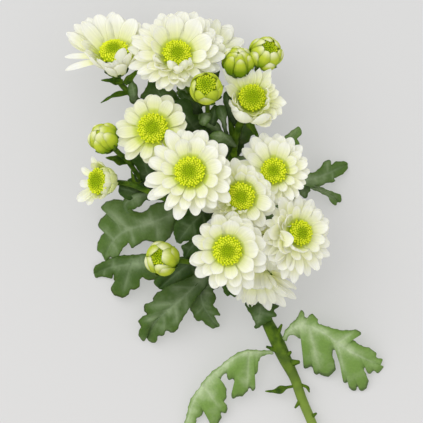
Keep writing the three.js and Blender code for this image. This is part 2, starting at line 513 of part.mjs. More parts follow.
/** One row of petals: a flat hub whose rim runs out and back along each keeled petal. */
function petalRow(frame, row, shapes) {
  const points = [headPoint(frame, 0, row.hub[0], 0), headPoint(frame, 0, row.hub[1], 0)];
  const add = (point) => points.push(point) - 1;
  const valleys = shapes.map((shape, index) => {
    const before = index ? shapes[index - 1].azimuth : shapes[shapes.length - 1].azimuth - TURN;
    const azimuth = (before + shape.azimuth) / 2;
    return row.hub.map((height) => add(headPoint(frame, shape.radius, height, azimuth)));
  });
  const triangles = shapes.flatMap((shape, index) => {
    const { place, reachAt } = petalPlaces(frame, shape);
    const [lowA, highA] = valleys[index];
    const [lowB, highB] = valleys[(index + 1) % shapes.length];
    const [inner, outer] = PETAL_STATIONS.map(([share, wide, deep]) => {
      const half = halfWidth(shape, reachAt(share), wide);
      return {
        edgeA: add(place(share, -half, PETAL_LIFT)),
        edgeB: add(place(share, half, PETAL_LIFT)),
        keel: add(place(share, 0, -PETAL_KEEL * deep)),
      };
    });
    const tip = add(place(1, 0, 0));
    return [
      [1, highA, highB], [highA, inner.edgeA, inner.edgeB], [highA, inner.edgeB, highB],
      [inner.edgeA, outer.edgeA, outer.edgeB], [inner.edgeA, outer.edgeB, inner.edgeB],
      [outer.edgeA, tip, outer.edgeB],
      [0, lowB, lowA], [lowA, lowB, inner.keel], [lowA, inner.keel, inner.edgeA],
      [lowB, inner.edgeB, inner.keel], [inner.edgeA, inner.keel, outer.keel],
      [inner.edgeA, outer.keel, outer.edgeA], [inner.keel, inner.edgeB, outer.edgeB],
      [inner.keel, outer.edgeB, outer.keel], [outer.edgeA, outer.keel, tip],
      [outer.keel, outer.edgeB, tip],
      [inner.edgeA, highA, lowA], [highB, inner.edgeB, lowB],
    ];
  });
  return solidOf(points, triangles);
}

/** A fatter blade, square in section, round a petal's whole run, which keeps other nodes clear. */
function petalKeepOut(frame, shape) {
  const { place, reachAt } = petalPlaces(frame, { ...shape, length: shape.length + FAT_LENGTH });
  const rings = [[0, 1, 0], ...PETAL_STATIONS].map(([share, wide, deep]) => {
    const half = halfWidth(shape, reachAt(share), wide) + FAT_HALF_WIDTH;
    const lift = (share ? PETAL_LIFT : shape.hubHalf) + GAP;
    const keel = (share ? PETAL_KEEL * deep : shape.hubHalf) + GAP;
    return [[half, lift], [-half, lift], [-half, -keel], [half, -keel]]
      .map(([side, rise]) => place(share, side, rise));
  });
  return loft(rings, { end: place(1, 0, 0) });
}

/** A petal's tip angle, in degrees, lowered where a higher head overhangs it. */
function pressedAngle(head, rootPoint, tipPoint, wanted) {
  let angle = wanted;
  HEADS.forEach((other) => {
    if (other.at[2] <= head.at[2] + CLEARLY_HIGHER) return;
    const dx = tipPoint.x - other.at[0];
    const dy = tipPoint.y - other.at[1];
    const away = Math.hypot(dx, dy);
    const beyondDisc = Math.max(away - other.disc, 0);
    if (beyondDisc > other.petal) return;
    const up = Math.sqrt(1 - other.lean[0] ** 2 - other.lean[1] ** 2);
    const plane = other.at[2] - (other.lean[0] * dx + other.lean[1] * dy) / up;
    const ceiling = plane - OVERHANG + OVERHANG_RISE * beyondDisc;
    const flat = Math.hypot(tipPoint.x - rootPoint.x, tipPoint.y - rootPoint.y);
    const limit = Math.atan2(ceiling - rootPoint.z, flat) / DEGREE;
    angle = Math.min(angle, Math.max(limit, STEEPEST_PRESS));
  });
  return angle;
}

/** The petals of one row of a head, each with its own small turn, bend and length. */
function petalShapes(head, seed, row, rowIndex) {
  const frame = headFrame(head);
  const radius = head.disc + row.lip;
  const height = (row.hub[0] + row.hub[1]) / 2;
  return Array.from({ length: row.count }, (_, index) => {
    const item = rowIndex * 20 + index;
    const share = (index + 0.5 * (rowIndex % 2)) / row.count;
    const azimuth = (share * 360 + head.turn + PETAL_SPREAD.azimuth * jitter(seed, item)) * DEGREE;
    const length = head.petal * row.length * (1 + PETAL_SPREAD.length * jitter(seed, item + 100));
    const rootPoint = headPoint(frame, radius, height, azimuth);
    const tipPoint = headPoint(frame, radius + length, height, azimuth);
    const wanted = row.tip + PETAL_SPREAD.bend * jitter(seed, item + 200);
    const tip = pressedAngle(head, rootPoint, tipPoint, wanted);
    const room = (TURN * (radius + WIDEST_AT * length)) / row.count;
    return {
      radius,
      height,
      hubHalf: (row.hub[1] - row.hub[0]) / 2,
      root: Math.min(row.root, tip - 1) * DEGREE,
      tip: tip * DEGREE,
      length,
      width: row.width * room,
      count: row.count,
      azimuth,
      roll: PETAL_SPREAD.roll * jitter(seed, item + 400) * DEGREE,
    };
  });
}

/** All petals of a head, joined by their hubs. */
function petals(head, seed) {
  const frame = headFrame(head);
  const rows = ROWS[head.rows ?? 'open'];
  return join(rows.map((row, rowIndex) => petalRow(frame, row, petalShapes(head, seed, row, rowIndex))));
}

/** Fatter petals, one by one, and a fatter hub, that keep other nodes clear of a head. */
function petalKeepOuts(head, seed) {
  const frame = headFrame(head);
  const rows = ROWS[head.rows ?? 'open'];
  const low = frame.origin.clone().addScaledVector(frame.axis, rows[0].hub[0] - GAP);
  const radius = head.disc + rows[0].lip + FAT_HUB;
  const hub = rod([low, frame.origin], [radius, radius], DISC_SIDES);
  const fatPetals = rows.flatMap((row, rowIndex) => (
    petalShapes(head, seed, row, rowIndex).map((shape) => petalKeepOut(frame, shape))));
  return [hub, ...fatPetals];
}

/** A dome of florets: rings that stand out and in by turns. */
function disc(head, fat = false) {
  const frame = headFrame(head);
  const grow = fat ? GAP : 0;
  const rise = DISC_HEIGHT * (head.disc / DISC_RADIUS);
  const rings = DISC_PROFILE.map(([wide, tall], ring) => (
    Array.from({ length: DISC_SIDES }, (_, side) => {
      const relief = ring > 0 ? DISC_RELIEF * ((side + ring) % 2 ? 1 : -1) : 0;
      const azimuth = (side / DISC_SIDES) * TURN;
      const height = ring > 0 ? rise * tall + relief + grow : -grow;
      return headPoint(frame, head.disc * wide + grow, height, azimuth);
    })));
  return loft(rings, { end: headPoint(frame, 0, rise * DISC_DIMPLE + grow, 0) });
}

/** Height of an opening bud's mouth over the middle of its globe. */
const mouthHeight = ({ radius, disc: rim }) => Math.sqrt(radius ** 2 - (rim + MOUTH_WALL) ** 2);

/** The disc of an opening bud, as a head of its own. */
function budDisc(bud) {
  const { origin, axis } = headFrame(bud);
  const at = origin.addScaledVector(axis, mouthHeight(bud) - MOUTH_DEPTH).toArray();
  return { at, lean: bud.lean, disc: bud.disc };
}

/** A bud: a globe of petals that overlap like roof tiles, closed at the top or open on its disc. */
function bud(shape, grow = 0) {
  const frame = headFrame(shape);
  const ring = (turn, radiusAt, heightAt) => Array.from({ length: BUD_SIDES }, (_, side) => {
    const azimuth = (side / BUD_SIDES) * TURN + turn;
    const proud = side % 2 ? 1 : -1;
    return headPoint(frame, radiusAt(proud), heightAt(proud), azimuth);
  });
  const latitudes = shape.disc ? BUD_LATITUDES : [...BUD_LATITUDES, ...CLOSED_LATITUDES];
  const rings = latitudes.map((latitude, index) => {
    const size = (proud) => shape.radius + grow + (proud * BUD_STEP) / 2;
    return ring(
      index * BUD_TWIST,
      (proud) => size(proud) * Math.cos(latitude * DEGREE),
      (proud) => size(proud) * Math.sin(latitude * DEGREE),
    );
  });
  if (!shape.disc) return loft(rings, { end: headPoint(frame, 0, shape.radius + grow, 0) });
  const mouth = mouthHeight(shape);
  const turn = rings.length * BUD_TWIST;
  const outside = () => shape.disc + MOUTH_WALL + grow;
  rings.push(ring(turn, outside, (proud) => mouth + grow + proud * MOUTH_WAVE));
  if (grow === 0) {
    const inside = () => shape.disc + MOUTH_CLEARANCE;
    rings.push(ring(turn, inside, (proud) => mouth - MOUTH_BEVEL + proud * MOUTH_WAVE));
    rings.push(ring(turn, inside, () => mouth - MOUTH_DEPTH - GAP));
  }
  return loft(rings);
}

// ---------------------------------------------------------------- stem

/** The depths and radii at which a stalk widens into its head's green cup. */
function cupStations(head) {
  if (!head.petal) {
    const low = head.radius * Math.sin(-BUD_LATITUDES[0] * DEGREE);
    return { depths: BUD_CUP_DEPTHS.map((depth) => low + depth), radii: BUD_CUP_RADII };
  }
  return { depths: [CUP_BOTTOM, CUP_MIDDLE, CUP_TOP], radii: CUP_RADII };
}

/** A side branch with its stalk and its cup, as one rod. */
function branch(head, grow) {
  const { path, radius } = BRANCHES[head.name];
  const { origin, axis } = headFrame(head);
  const { depths, radii } = cupStations(head);
  const below = (depth) => origin.clone().addScaledVector(axis, -depth);
  const guides = [...path.map(vector), below(depths[0] + STALK_GUIDE), below(depths[0])];
  const curve = new THREE.CatmullRomCurve3(guides, false, 'centripetal');
  const steps = STALK_STEPS + Math.max(path.length - 2, 0);
  const points = curve.getSpacedPoints(steps);
  const widths = points.map(() => radius + grow);
  widths[steps] = radii[0] + grow;
  points.push(below(depths[1]), below(depths[2] - grow));
  widths.push(radii[1] + grow, radii[2] + grow);
  return rod(points, widths, STALK_SIDES);
}

/** A rod along a smooth line, tapering from one radius to the other. */
function taperedRod(path, [first, last], steps, sides, grow) {
  const curve = new THREE.CatmullRomCurve3(path.map(vector), false, 'centripetal');
  const points = curve.getSpacedPoints(steps);
  const radii = points.map((_, index) => mix(first, last, index / steps) + grow);
  return rod(points, radii, sides);
}

/** A cone that leaves the stem. */
function stub({ from, to, radius }, grow) {
  const foot = vector(from);
  const tip = vector(to);
  const along = tip.clone().sub(foot).normalize();
  const middle = foot.clone().lerp(tip, STUB_WAIST);
  const end = tip.addScaledVector(along, grow);
  const radii = [radius, radius * STUB_WAIST, STUB_TIP].map((size) => size + grow);
  return rod([foot, middle, end], radii, STALK_SIDES);
}

/** A thin blade along a line, as deep in its middle as a leaf. */
function bract({ spine, half }, grow) {
  const last = spine.length - 1;
  const pairs = half.map((width, index) => [index / (last + 1), width]);
  const shape = { spine, right: pairs, left: pairs, slant: [0, 0], fall: [0, 0] };
  return leaf(shape, grow);
}

/** The whole stem: main stem, trunk of the upper branches, stalks, cups, stubs and bracts. */
function stem(grow = 0) {
  return join([
    taperedRod(MAIN_STEM, STEM_RADII, STEM_STEPS, STEM_SIDES, grow),
    taperedRod(TRUNK.path, TRUNK.radii, TRUNK_STEPS, STALK_SIDES, grow),
    ...[...HEADS, ...BUDS].map((head) => branch(head, grow)),
    ...STUBS.map((shape) => stub(shape, grow)),
    ...BRACTS.map((shape) => bract(shape, grow)),
  ]);
}

// ---------------------------------------------------------------- leaves

/** A lobed leaf: a blade that is a flat diamond across, and lies flat where it meets the table. */
function leaf({ spine, right, left, slant, fall }, grow = 0) {
  const curve = new THREE.CatmullRomCurve3(spine.map(vector), false, 'centripetal');
  const shares = [...new Set([...right, ...left].map(([share]) => share))].sort((a, b) => a - b);
  const chord = curve.getPointAt(1).sub(curve.getPointAt(0)).setZ(0).normalize();
  const edge = (share, pairs, side, drop) => {
    const along = curve.getTangentAt(share).setZ(0).normalize().add(chord).normalize();
    const across = new THREE.Vector3().crossVectors(along, UP).multiplyScalar(side);
    const turn = mix(slant[0], slant[1], share) * DEGREE;
    const width = valueAt(pairs, share, 0) + grow * 2;
    const point = curve.getPointAt(share)
      .addScaledVector(across, width * Math.cos(turn))
      .addScaledVector(along, width * Math.sin(turn));
    point.z -= width * Math.tan(drop * DEGREE);
    return point;
  };
  const floor = (point, lowest) => point.setZ(Math.max(point.z, lowest));
  const half = LEAF_HALF_THICKNESS + grow;
  const rings = shares.map((share) => {
    const middle = curve.getPointAt(share);
    return [
      floor(edge(share, left, -1, fall[1]), 0),
      floor(middle.clone().addScaledVector(UP, half), half * 2),
      floor(edge(share, right, 1, fall[0]), 0),
      floor(middle.clone().addScaledVector(UP, -half), 0),
    ];
  });
  const tip = floor(curve.getPointAt(1), LEAF_HALF_THICKNESS);
  return loft(rings, { end: tip, alike: true });
}

// ---------------------------------------------------------------- keeping the nodes apart

const near = (a, b) => {
  const boxA = a.boundingBox();
  const boxB = b.boundingBox();
  return [0, 1, 2].every((axis) => boxA.min[axis] < boxB.max[axis] && boxB.min[axis] < boxA.max[axis]);
};

/** The solid less every keep-out that it meets, without the scraps that this cuts loose. */
function cutClear(solid, keepOuts) {
  const met = keepOuts.filter((other) => near(solid, other));
  const cut = met.reduce((left, other) => left.subtract(other), solid);
  return cut.decompose().reduce((best, piece) => (piece.volume() > best.volume() ? piece : best));
}

/** A named mesh of the finished solid. */
function node(name, solid, colour) {
  const { vertProperties, triVerts } = solid.getMesh();
  const geometry = new THREE.BufferGeometry();
  geometry.setAttribute('position', new THREE.BufferAttribute(vertProperties, 3));
  geometry.setIndex(new THREE.BufferAttribute(new Uint32Array(triVerts), 1));
  geometry.computeVertexNormals();
  const mesh = new THREE.Mesh(geometry, new THREE.MeshStandardMaterial(colour));
  mesh.name = name;
  return mesh;
}

// ---------------------------------------------------------------- the spray

const spray = new THREE.Group();
spray.position.set(...SHEET_TO_ORIGIN);

const stemSolid = stem();
const stemKeepOut = stem(GAP);
const keepOuts = [stemKeepOut];
spray.add(node('stem', stemSolid, COLOURS.stem));

const discs = [
  ...HEADS.map((head) => [`head_${head.name}_disc`, head]),
  ...BUDS.filter((shape) => shape.disc).map((shape) => [`${shape.name}_disc`, budDisc(shape)]),
];
discs.forEach(([name, head]) => {
  spray.add(node(name, cutClear(disc(head), [stemKeepOut]), COLOURS.discs));
  keepOuts.push(disc(head, true));
});

BUDS.forEach((shape) => {
  spray.add(node(`${shape.name}_petals`, cutClear(bud(shape), keepOuts), COLOURS.buds));
  keepOuts.push(bud(shape, GAP));
});

HEADS.forEach((head, index) => {
  spray.add(node(`head_${head.name}_petals`, cutClear(petals(head, index + 1), keepOuts), COLOURS.petals));
  keepOuts.push(...petalKeepOuts(head, index + 1));
});

LEAVES.forEach((shape) => {
  spray.add(node(shape.name, cutClear(leaf(shape), keepOuts), COLOURS.leaves));
  keepOuts.push(leaf(shape, GAP));
});

export default spray;
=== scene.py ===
import math

import bpy
import numpy as np
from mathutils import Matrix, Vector


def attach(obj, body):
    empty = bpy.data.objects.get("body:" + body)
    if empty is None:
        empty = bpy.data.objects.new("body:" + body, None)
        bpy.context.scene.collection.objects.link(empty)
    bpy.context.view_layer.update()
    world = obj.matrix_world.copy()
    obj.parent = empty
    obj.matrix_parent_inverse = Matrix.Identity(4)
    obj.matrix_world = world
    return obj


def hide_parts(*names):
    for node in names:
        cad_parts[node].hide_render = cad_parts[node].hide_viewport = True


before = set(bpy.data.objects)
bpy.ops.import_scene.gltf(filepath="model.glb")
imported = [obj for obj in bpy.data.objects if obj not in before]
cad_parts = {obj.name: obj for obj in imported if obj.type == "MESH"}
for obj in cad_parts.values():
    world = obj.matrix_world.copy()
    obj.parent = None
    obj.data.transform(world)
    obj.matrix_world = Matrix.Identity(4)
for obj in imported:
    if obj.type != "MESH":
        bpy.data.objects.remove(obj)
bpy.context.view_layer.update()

bl_info = {
    "name": "Spray chrysanthemum",
    "version": (1, 0, 0),
    "blender": (4, 5, 0),
    "location": "View3D > Sidebar > Spray",
    "description": "Petals, disc florets, buds, leaves and stem of a cut spray chrysanthemum",
    "category": "Add Mesh",
}

# Every list of places below is in the spray's own sheet, in millimetres: x to the right, y along
# the stem, z up from the table. The frame's origin lies under the middle of the spray.
MM = 0.001
SHEET_TO_ORIGIN = np.array([-7.9, 23.3, 0.0])
BODY = "root"

# ---------- where everything grows

# Heads: the middle of the disc's rim, the lean of the axis along x and y, the disc's radius, the
# petals' length, the turn of the first petal in degrees, and the kind of head. Directions round a
# head are in degrees: `fan` is where the petals lie flat and spread over each other, `lift` raises
# the petals on one side, by degrees at the tip and at the root, `stretch` lengthens them there by a
# share, and `without` leaves a span of directions bare. `crowd` scales the number of petals, `green`
# says how green they are, or how white under 0, `neck` puts the green cup further down the axis,
# and `ripe` is how far the florets at the rim have opened.
HEADS = [
    dict(name="06", at=(-10.75, 19.75, 65), lean=(-0.12, 0.15), disc=7.6, petal=14.8, turn=10, fan=50,
         crowd=0.92, stretch=(38, -0.14)),
    dict(name="09", at=(8, -19.5, 60), lean=(0, -0.1), disc=7.2, petal=11.2, turn=0, fan=40, crowd=0.76,
         stretch=(305, 0.25)),
    dict(name="07", at=(14.75, 7.75, 57), lean=(-0.05, -0.15), disc=6.9, petal=12, turn=20, fan=10,
         crowd=0.84, stretch=(45, -0.44)),
    dict(name="02", at=(-17.25, 78.75, 52), lean=(0.05, 0.34), disc=7, petal=16.4, turn=5, fan=60,
         kind="full", stretch=(270, -0.38)),
    dict(name="05", at=(-29.25, 41.5, 52), lean=(-0.15, 0.15), disc=7.6, petal=9.2, turn=8, fan=75,
         kind="loose", green=0.3, stretch=(215, 0.25)),
    dict(name="04", at=(20.25, 56.75, 50), lean=(0.08, 0.24), disc=6.9, petal=11.4, turn=15, fan=90,
         kind="none", ripe=0.66),
    dict(name="08", at=(31.25, 20.25, 50), lean=(-0.12, 0.1), disc=6.3, petal=11, turn=0, fan=90,
         stretch=(141, 0.2)),
    dict(name="10", at=(44.25, -10.75, 50), lean=(0.45, 0.05), disc=6.2, petal=11.4, turn=12, fan=40,
         stretch=(262, 0.5)),
    dict(name="01", at=(-48.75, 79.75, 46), lean=(-0.12, 0.7), disc=7.4, petal=14.4, turn=0, fan=90,
         kind="goblet", without=(166, 348), neck=7.4, stretch=(138, 0.26), crowd=1.2),
    # Heads 12 and 11: green under 0 paints their petals whiter, painted light on petals that lie in the
    # shade of the heads above.
    dict(name="12", at=(29.5, -17, 40), lean=(0.15, -0.78), disc=4.6, petal=12.6, turn=8, fan=90,
         kind="goblet", lift=(90, 32, 34), green=-0.4),
    dict(name="03", at=(1.75, 82.25, 38), lean=(0.5, 0.68), disc=4.6, petal=14.4, turn=0, fan=54,
         kind="goblet", without=(190, 346)),
    dict(name="11", at=(23.4, -35, 28), lean=(0.1, -0.8), disc=4.6, petal=12.4, turn=14, fan=90,
         kind="goblet", lift=(90, 32, 34), without=(160, 230), green=-0.4, stretch=(335, 0.32)),
    dict(name="13", at=(-56.2, 15.2, 43), lean=(-0.66, 0.05), disc=6.7, petal=8.6, turn=0, fan=180,
         kind="none", neck=2, ripe=0.7),
]

# Petals that stand on their own: direction round the head, angles over the disc at the root and at
# the tip, length, width, depth of the trough, distance of the root from the axis and its height
# over the rim, how green the petal is, or how white under 0, and how sharp its tip. The last two
# may be left out.
PETAL_COLUMNS = ("azimuth", "root", "tip", "length", "width", "cup", "radius", "height", "green", "blunt")
USUAL_GREEN_AND_SHARPNESS = (0, 0.5)
EXTRA_PETALS = {
    "10": [(196, 50, 136, 11.5, 9, -0.5, 8.6, -2.5, 0.2), (262, 40, 100, 8, 9.5, 0.5, 6.6, -1),
           (232, 40, 92, 9.5, 7.5, 0.4, 6.6, -1, 0.1), (158, 20, 60, 13, 8, 0.4, 6.8, -2),
           (178, 14, 44, 15, 8.6, 0.4, 6.8, -2.4), (214, 20, 60, 14, 8.6, 0.4, 6.8, -2.4),
           (142, 30, 84, 10, 7.6, 0.4, 6.8, -1.6, 0.1), (126, 4, 20, 14.4, 8, 0.4, 6.8, -2.6),
           (188, 4, 30, 16, 9, 0.4, 6.8, -3), (204, 2, 24, 17, 9, 0.4, 6.8, -3),
           (220, 4, 28, 17, 8.6, 0.4, 6.8, -3), (236, 4, 24, 16, 8.6, 0.4, 6.8, -3)],
    "07": [(196, 40, 120, 6.5, 2.8, 1.3, 7.2, -1, 0.4), (212, 55, 150, 6, 2.6, 1.3, 7.2, -1, 0.5),
           (226, 35, 100, 7.5, 3, 1.2, 7.2, -1, 0.4), (240, 60, 140, 6, 2.8, 1.3, 7.2, -1, 0.5),
           (254, 38, 110, 7, 2.8, 1.2, 7.2, -1, 0.4), (268, 50, 130, 6, 2.8, 1.3, 7.2, -1, 0.4),
           (284, 60, 120, 5, 3.2, 0.9, 7.2, -1, 0.3), (204, 12, 60, 9, 3, 1.2, 7.6, -1, 0.3),
           (234, 10, 70, 9.5, 3, 1.2, 7.6, -1, 0.4), (262, 12, 64, 9, 3, 1.2, 7.6, -1, 0.3),
           (219, 20, 90, 8.5, 2.6, 1.2, 7.6, -0.6, 0.5), (247, 24, 96, 8, 2.6, 1.2, 7.6, -0.6, 0.5)],
    "02": [(296, 40, 150, 9, 5.5, 0.9, 7.2, -1), (272, 30, 120, 10, 6, 0.8, 7.2, -1, 0.1),
           (250, 44, 140, 9, 5.5, 0.9, 7.2, -1), (318, 44, 130, 8, 5, 0.9, 7.2, -1),
           (284, 6, 90, 15, 6.5, 0.8, 7.6, -2), (262, 8, 74, 15, 6, 0.7, 7.6, -2),
           (204, 30, 84, 9.5, 6, 0.8, 7.4, -1), (222, 26, 76, 11, 6.5, 0.8, 7.4, -1)],
    "01": [(158, 20, 48, 12, 7, 0.4, 7.4, -3, 0, 0.7), (174, 2, 4, 18, 4.6, 0.3, 7.4, -3, -0.3, 0.6),
           (190, 40, 66, 13, 7, 0.4, 6.4, -6, 0.1, 0.6), (191, -2, 0, 18.5, 4.4, 0.3, 7.4, -3.4, -0.4, 0.6),
           (204, 42, 74, 14.4, 7.5, 0.5, 5.6, -8.5, 0.1), (222, 56, 80, 13, 7.6, 0.5, 5.2, -10, 0.1, 0.6),
           (240, 62, 84, 11.8, 7.6, 0.5, 5, -10.6, 0.1), (258, 66, 88, 11.4, 7.4, 0.5, 5, -10.8, 0.1),
           (276, 68, 88, 12.4, 7.4, 0.5, 5, -10.8, 0.1), (302, 68, 98, 18.4, 7.8, 0.6, 5, -10.4),
           (324, 60, 84, 15, 7, 0.5, 5.2, -9.8, 0.1), (344, 44, 74, 14.4, 7, 0.5, 5.6, -8.5, 0.1),
           (289, 60, 80, 11.4, 7.4, 0.4, 5.8, -11, 0.1, 0.6),
           (250, 58, 78, 10, 7.2, 0.4, 5.8, -11, 0.1, 0.6)],
    "03": [(184, 44, 92, 13, 6.4, 0.4, 5.2, -2, 0, 0.7), (206, 48, 98, 12, 6.4, 0.4, 5.2, -2, 0, 0.6),
           (228, 50, 102, 12.6, 6.6, 0.4, 5.2, -2, 0, 0.7), (250, 50, 100, 12, 6.4, 0.4, 5.2, -2, 0, 0.6),
           (272, 48, 98, 12.6, 6.4, 0.4, 5.2, -2, 0, 0.7), (296, 44, 94, 12, 6.4, 0.4, 5.2, -2, 0, 0.6),
           (320, 36, 86, 12, 6, 0.4, 5.2, -2, 0, 0.6)],
    "12": [(40, 46, 96, 12, 6.6, 0.4, 5.2, -2), (64, 50, 104, 13, 6.6, 0.4, 5.2, -2),
           (86, 52, 108, 12.4, 6.8, 0.4, 5.2, -2), (108, 50, 106, 13, 6.6, 0.4, 5.2, -2),
           (132, 46, 98, 12, 6.6, 0.4, 5.2, -2), (98, 60, 128, 10, 6, 0.4, 4.6, -1.4),
           (74, 60, 128, 10, 6, 0.4, 4.6, -1.4), (28, 6, 24, 13, 8, 0.4, 5.6, -3),
           (52, 6, 26, 14, 8, 0.4, 5.6, -3), (76, 6, 22, 15, 8, 0.4, 5.6, -3, 0.1),
           (100, 6, 26, 14, 8, 0.4, 5.6, -3), (124, 6, 22, 15, 8, 0.4, 5.6, -3, 0.1),
           (150, 6, 26, 13, 8, 0.4, 5.6, -3)],
    "11": [(34, 44, 92, 12, 6.6, 0.4, 5.2, -2), (58, 50, 104, 13, 6.6, 0.4, 5.2, -2),
           (82, 52, 108, 12.4, 6.8, 0.4, 5.2, -2), (106, 50, 106, 13, 6.6, 0.4, 5.2, -2),
           (130, 46, 98, 12, 6.6, 0.4, 5.2, -2), (94, 60, 128, 10, 6, 0.4, 4.6, -1.4),
           (70, 60, 128, 10, 6, 0.4, 4.6, -1.4)],
    "04": [(138, 8, 34, 14.6, 5.6, 0.5, 7, -2.4, 0, 1), (164, 36, 70, 12, 7, 0.5, 7, -2.6, 0, 0.7),
           (188, 50, 88, 9, 7, 0.5, 7, -3, 0.1, 0.6), (122, 12, 44, 7.6, 4.2, 0.6, 7, -1.8, 0.1, 1),
           (106, 14, 44, 6, 4.2, 0.6, 7, -1.6, 0.15, 0.9), (89, 14, 46, 8.4, 4.4, 0.6, 7, -1.6, 0.1, 1.1),
           (74, 12, 42, 9.4, 4.2, 0.6, 7, -1.6, 0.1, 1.1), (58, 10, 38, 11.6, 4.8, 0.5, 7, -2, 0, 1.1),
           (45, 18, 50, 8, 5, 0.6, 7, -1.8, 0.1, 0.8), (31, 14, 40, 7, 5, 0.5, 7, -1.8, 0.1, 0.8),
           (13, 10, 34, 7.4, 6, 0.5, 7, -2, 0.1, 0.7), (353, 4, 24, 11, 6.6, 0.5, 7, -2.6, 0, 1),
           (332, 4, 44, 10.8, 7.6, 0.5, 7.2, -3, 0, 0.6), (316, 16, 62, 11, 7.6, 0.5, 7.2, -3.2, 0, 0.6),
           (300, 6, 62, 12, 9, 0.5, 7.2, -3.4), (289, 0, 146, 16, 11, 0.4, 7.4, -3.4, 0.05, 0.6),
           (247, 0, 150, 15, 12, 0.5, 7.4, -3.4, 0.2, 0.6), (268, 6, 120, 9, 8, 0.4, 7, -4.4, 0.6),
           (222, 4, 140, 13, 7.4, 0.4, 7.4, -3.2), (203, 20, 110, 11, 7, 0.4, 7.2, -3),
           (20, 56, 122, 6.6, 5.4, 0.9, 7.2, -0.6, 0.45), (350, 56, 122, 6.4, 5.4, 0.9, 7.2, -0.6, 0.45),
           (326, 40, 110, 7, 5.4, 0.8, 7.2, -1, 0.4), (200, 56, 92, 5.4, 6, 0.6, 7.2, -1.4, 0.5),
           (218, 56, 92, 5, 6, 0.6, 7.2, -1.4, 0.5), (238, 44, 60, 3.6, 6, 0.5, 6.8, -2, 0.8),
           (258, 44, 60, 3.6, 6, 0.5, 6.8, -2, 0.85), (278, 44, 60, 3.6, 6, 0.5, 6.8, -2, 0.8),
           (298, 44, 60, 3.6, 6, 0.5, 6.8, -2, 0.7)],
    "13": [(116, 10, 20, 7.4, 3.4, 0.4, 7, -2.6, 0, 0.9), (154, 4, 8, 8.8, 4, 0.4, 7, -2.6, 0, 0.7),
           (184, 0, 4, 8.8, 4.4, 0.4, 7, -2.6, 0, 0.7), (211, 0, 6, 11.6, 5.6, 0.5, 7, -2.6, 0.1, 0.6),
           (224, -4, 0, 9, 5, 0.4, 7, -3, 0.1, 0.6), (84, 52, 70, 7, 5.5, 0.7, 6.4, -3.4, 0.7),
           (54, 60, 92, 8, 7.4, 0.7, 5.2, -5.5, 1), (20, 62, 98, 9, 8.4, 0.7, 5, -6, 0.7),
           (344, 62, 100, 9.4, 8.4, 0.7, 5, -6, 0.6), (310, 62, 94, 8.4, 7.6, 0.7, 5, -6, 0.75),
           (282, 50, 74, 7, 6, 0.7, 5.6, -4.6, 0.7), (252, 48, 70, 6, 5.5, 0.7, 6.4, -3.4, 0.5),
           (40, 56, 80, 7.6, 8, 0.5, 5.4, -7, 1), (4, 56, 82, 8, 8.6, 0.5, 5.4, -7, 1),
           (328, 56, 80, 7.6, 8, 0.5, 5.4, -7, 1), (112, 44, 62, 5.4, 5, 0.6, 6.8, -2.8, 0.4)],
}

# Buds: the middle and the radius of the globe, and the disc's radius in those that are opening.
BUDS = [
    dict(name="bud_01", at=(13.25, 74.75, 46), lean=(0.06, 0.7), radius=7.5),
    dict(name="bud_02", at=(27.25, 79.25, 44), lean=(0.26, 0.44), radius=8.2, disc=5.2),
    dict(name="bud_03", at=(-2.7, 61.5, 61), lean=(-0.06, 0.42), radius=8.3, disc=5.5),
    dict(name="bud_04", at=(-54, 36.9, 46), lean=(-0.5, 0.5), radius=7.3),
    dict(name="bud_05", at=(-24.9, -23.5, 42), lean=(-0.28, 0.26), radius=8.2, disc=5.0),
]

# Rows of petals from the outside in: how far outside the disc's rim and how far below it they
# grow, their angles over the plane of the disc at the root and at the tip in degrees, their length
# as a share of the head's, their width as a share of their room, and how deeply they are cupped.
ROWS = {
    "open": [
        dict(count=17, lip=1.0, drop=2.9, root=0, tip=7, length=1.0, width=1.08, cup=0.16),
        dict(count=16, lip=0.7, drop=2.2, root=8, tip=22, length=0.9, width=1.05, cup=0.22),
        dict(count=12, lip=0.3, drop=1.4, root=22, tip=46, length=0.62, width=0.95, cup=0.4),
    ],
    "loose": [
        dict(count=13, lip=1.0, drop=2.9, root=2, tip=12, length=1.0, width=1.0, cup=0.2, sharp=0.08),
        dict(count=11, lip=0.6, drop=2.0, root=12, tip=28, length=0.94, width=0.84, cup=0.3, sharp=0.1),
    ],
    "full": [
        dict(count=17, lip=1.0, drop=3.4, root=-4, tip=2, length=1.0, width=1.08, cup=0.16),
        dict(count=17, lip=0.8, drop=2.6, root=6, tip=16, length=0.95, width=1.05, cup=0.22),
        dict(count=14, lip=0.5, drop=1.9, root=18, tip=36, length=0.8, width=1.0, cup=0.3),
        dict(count=10, lip=0.2, drop=1.1, root=32, tip=56, length=0.56, width=0.95, cup=0.4),
    ],
    "goblet": [
        dict(count=15, lip=1.0, drop=3.4, root=10, tip=32, length=1.08, width=1.12, cup=0.25, sharp=0.1),
        dict(count=14, lip=0.7, drop=2.6, root=24, tip=46, length=1.0, width=1.1, cup=0.3, sharp=0.1),
        dict(count=11, lip=0.3, drop=1.6, root=38, tip=58, length=0.84, width=1.0, cup=0.4),
    ],
    "none": [],
}

MAIN_STEM = [
    (64.75, -145, 2.45), (57, -124, 3.2), (50.3, -105.75, 4), (45.5, -94.25, 4.6), (42, -84.25, 5.2),
    (37, -74.25, 5.8), (32.5, -64.25, 6.4), (27.4, -54.25, 7.2), (20.25, -36.75, 9),
    (13.25, -15.75, 11), (7.25, 4.25, 13), (1.75, 24.25, 15), (-4.25, 43.25, 19), (-10.5, 60, 28),
]
# The stem's radius at shares of its length. It is thickest where the two low leaves grow.
STEM_RADII = [
    (0, 2.45), (0.19, 2.3), (0.25, 2.4), (0.3, 2.5), (0.335, 3.0), (0.365, 3.4), (0.4, 3.4), (0.44, 2.8),
    (0.5, 2.2), (1, 1.9),
]
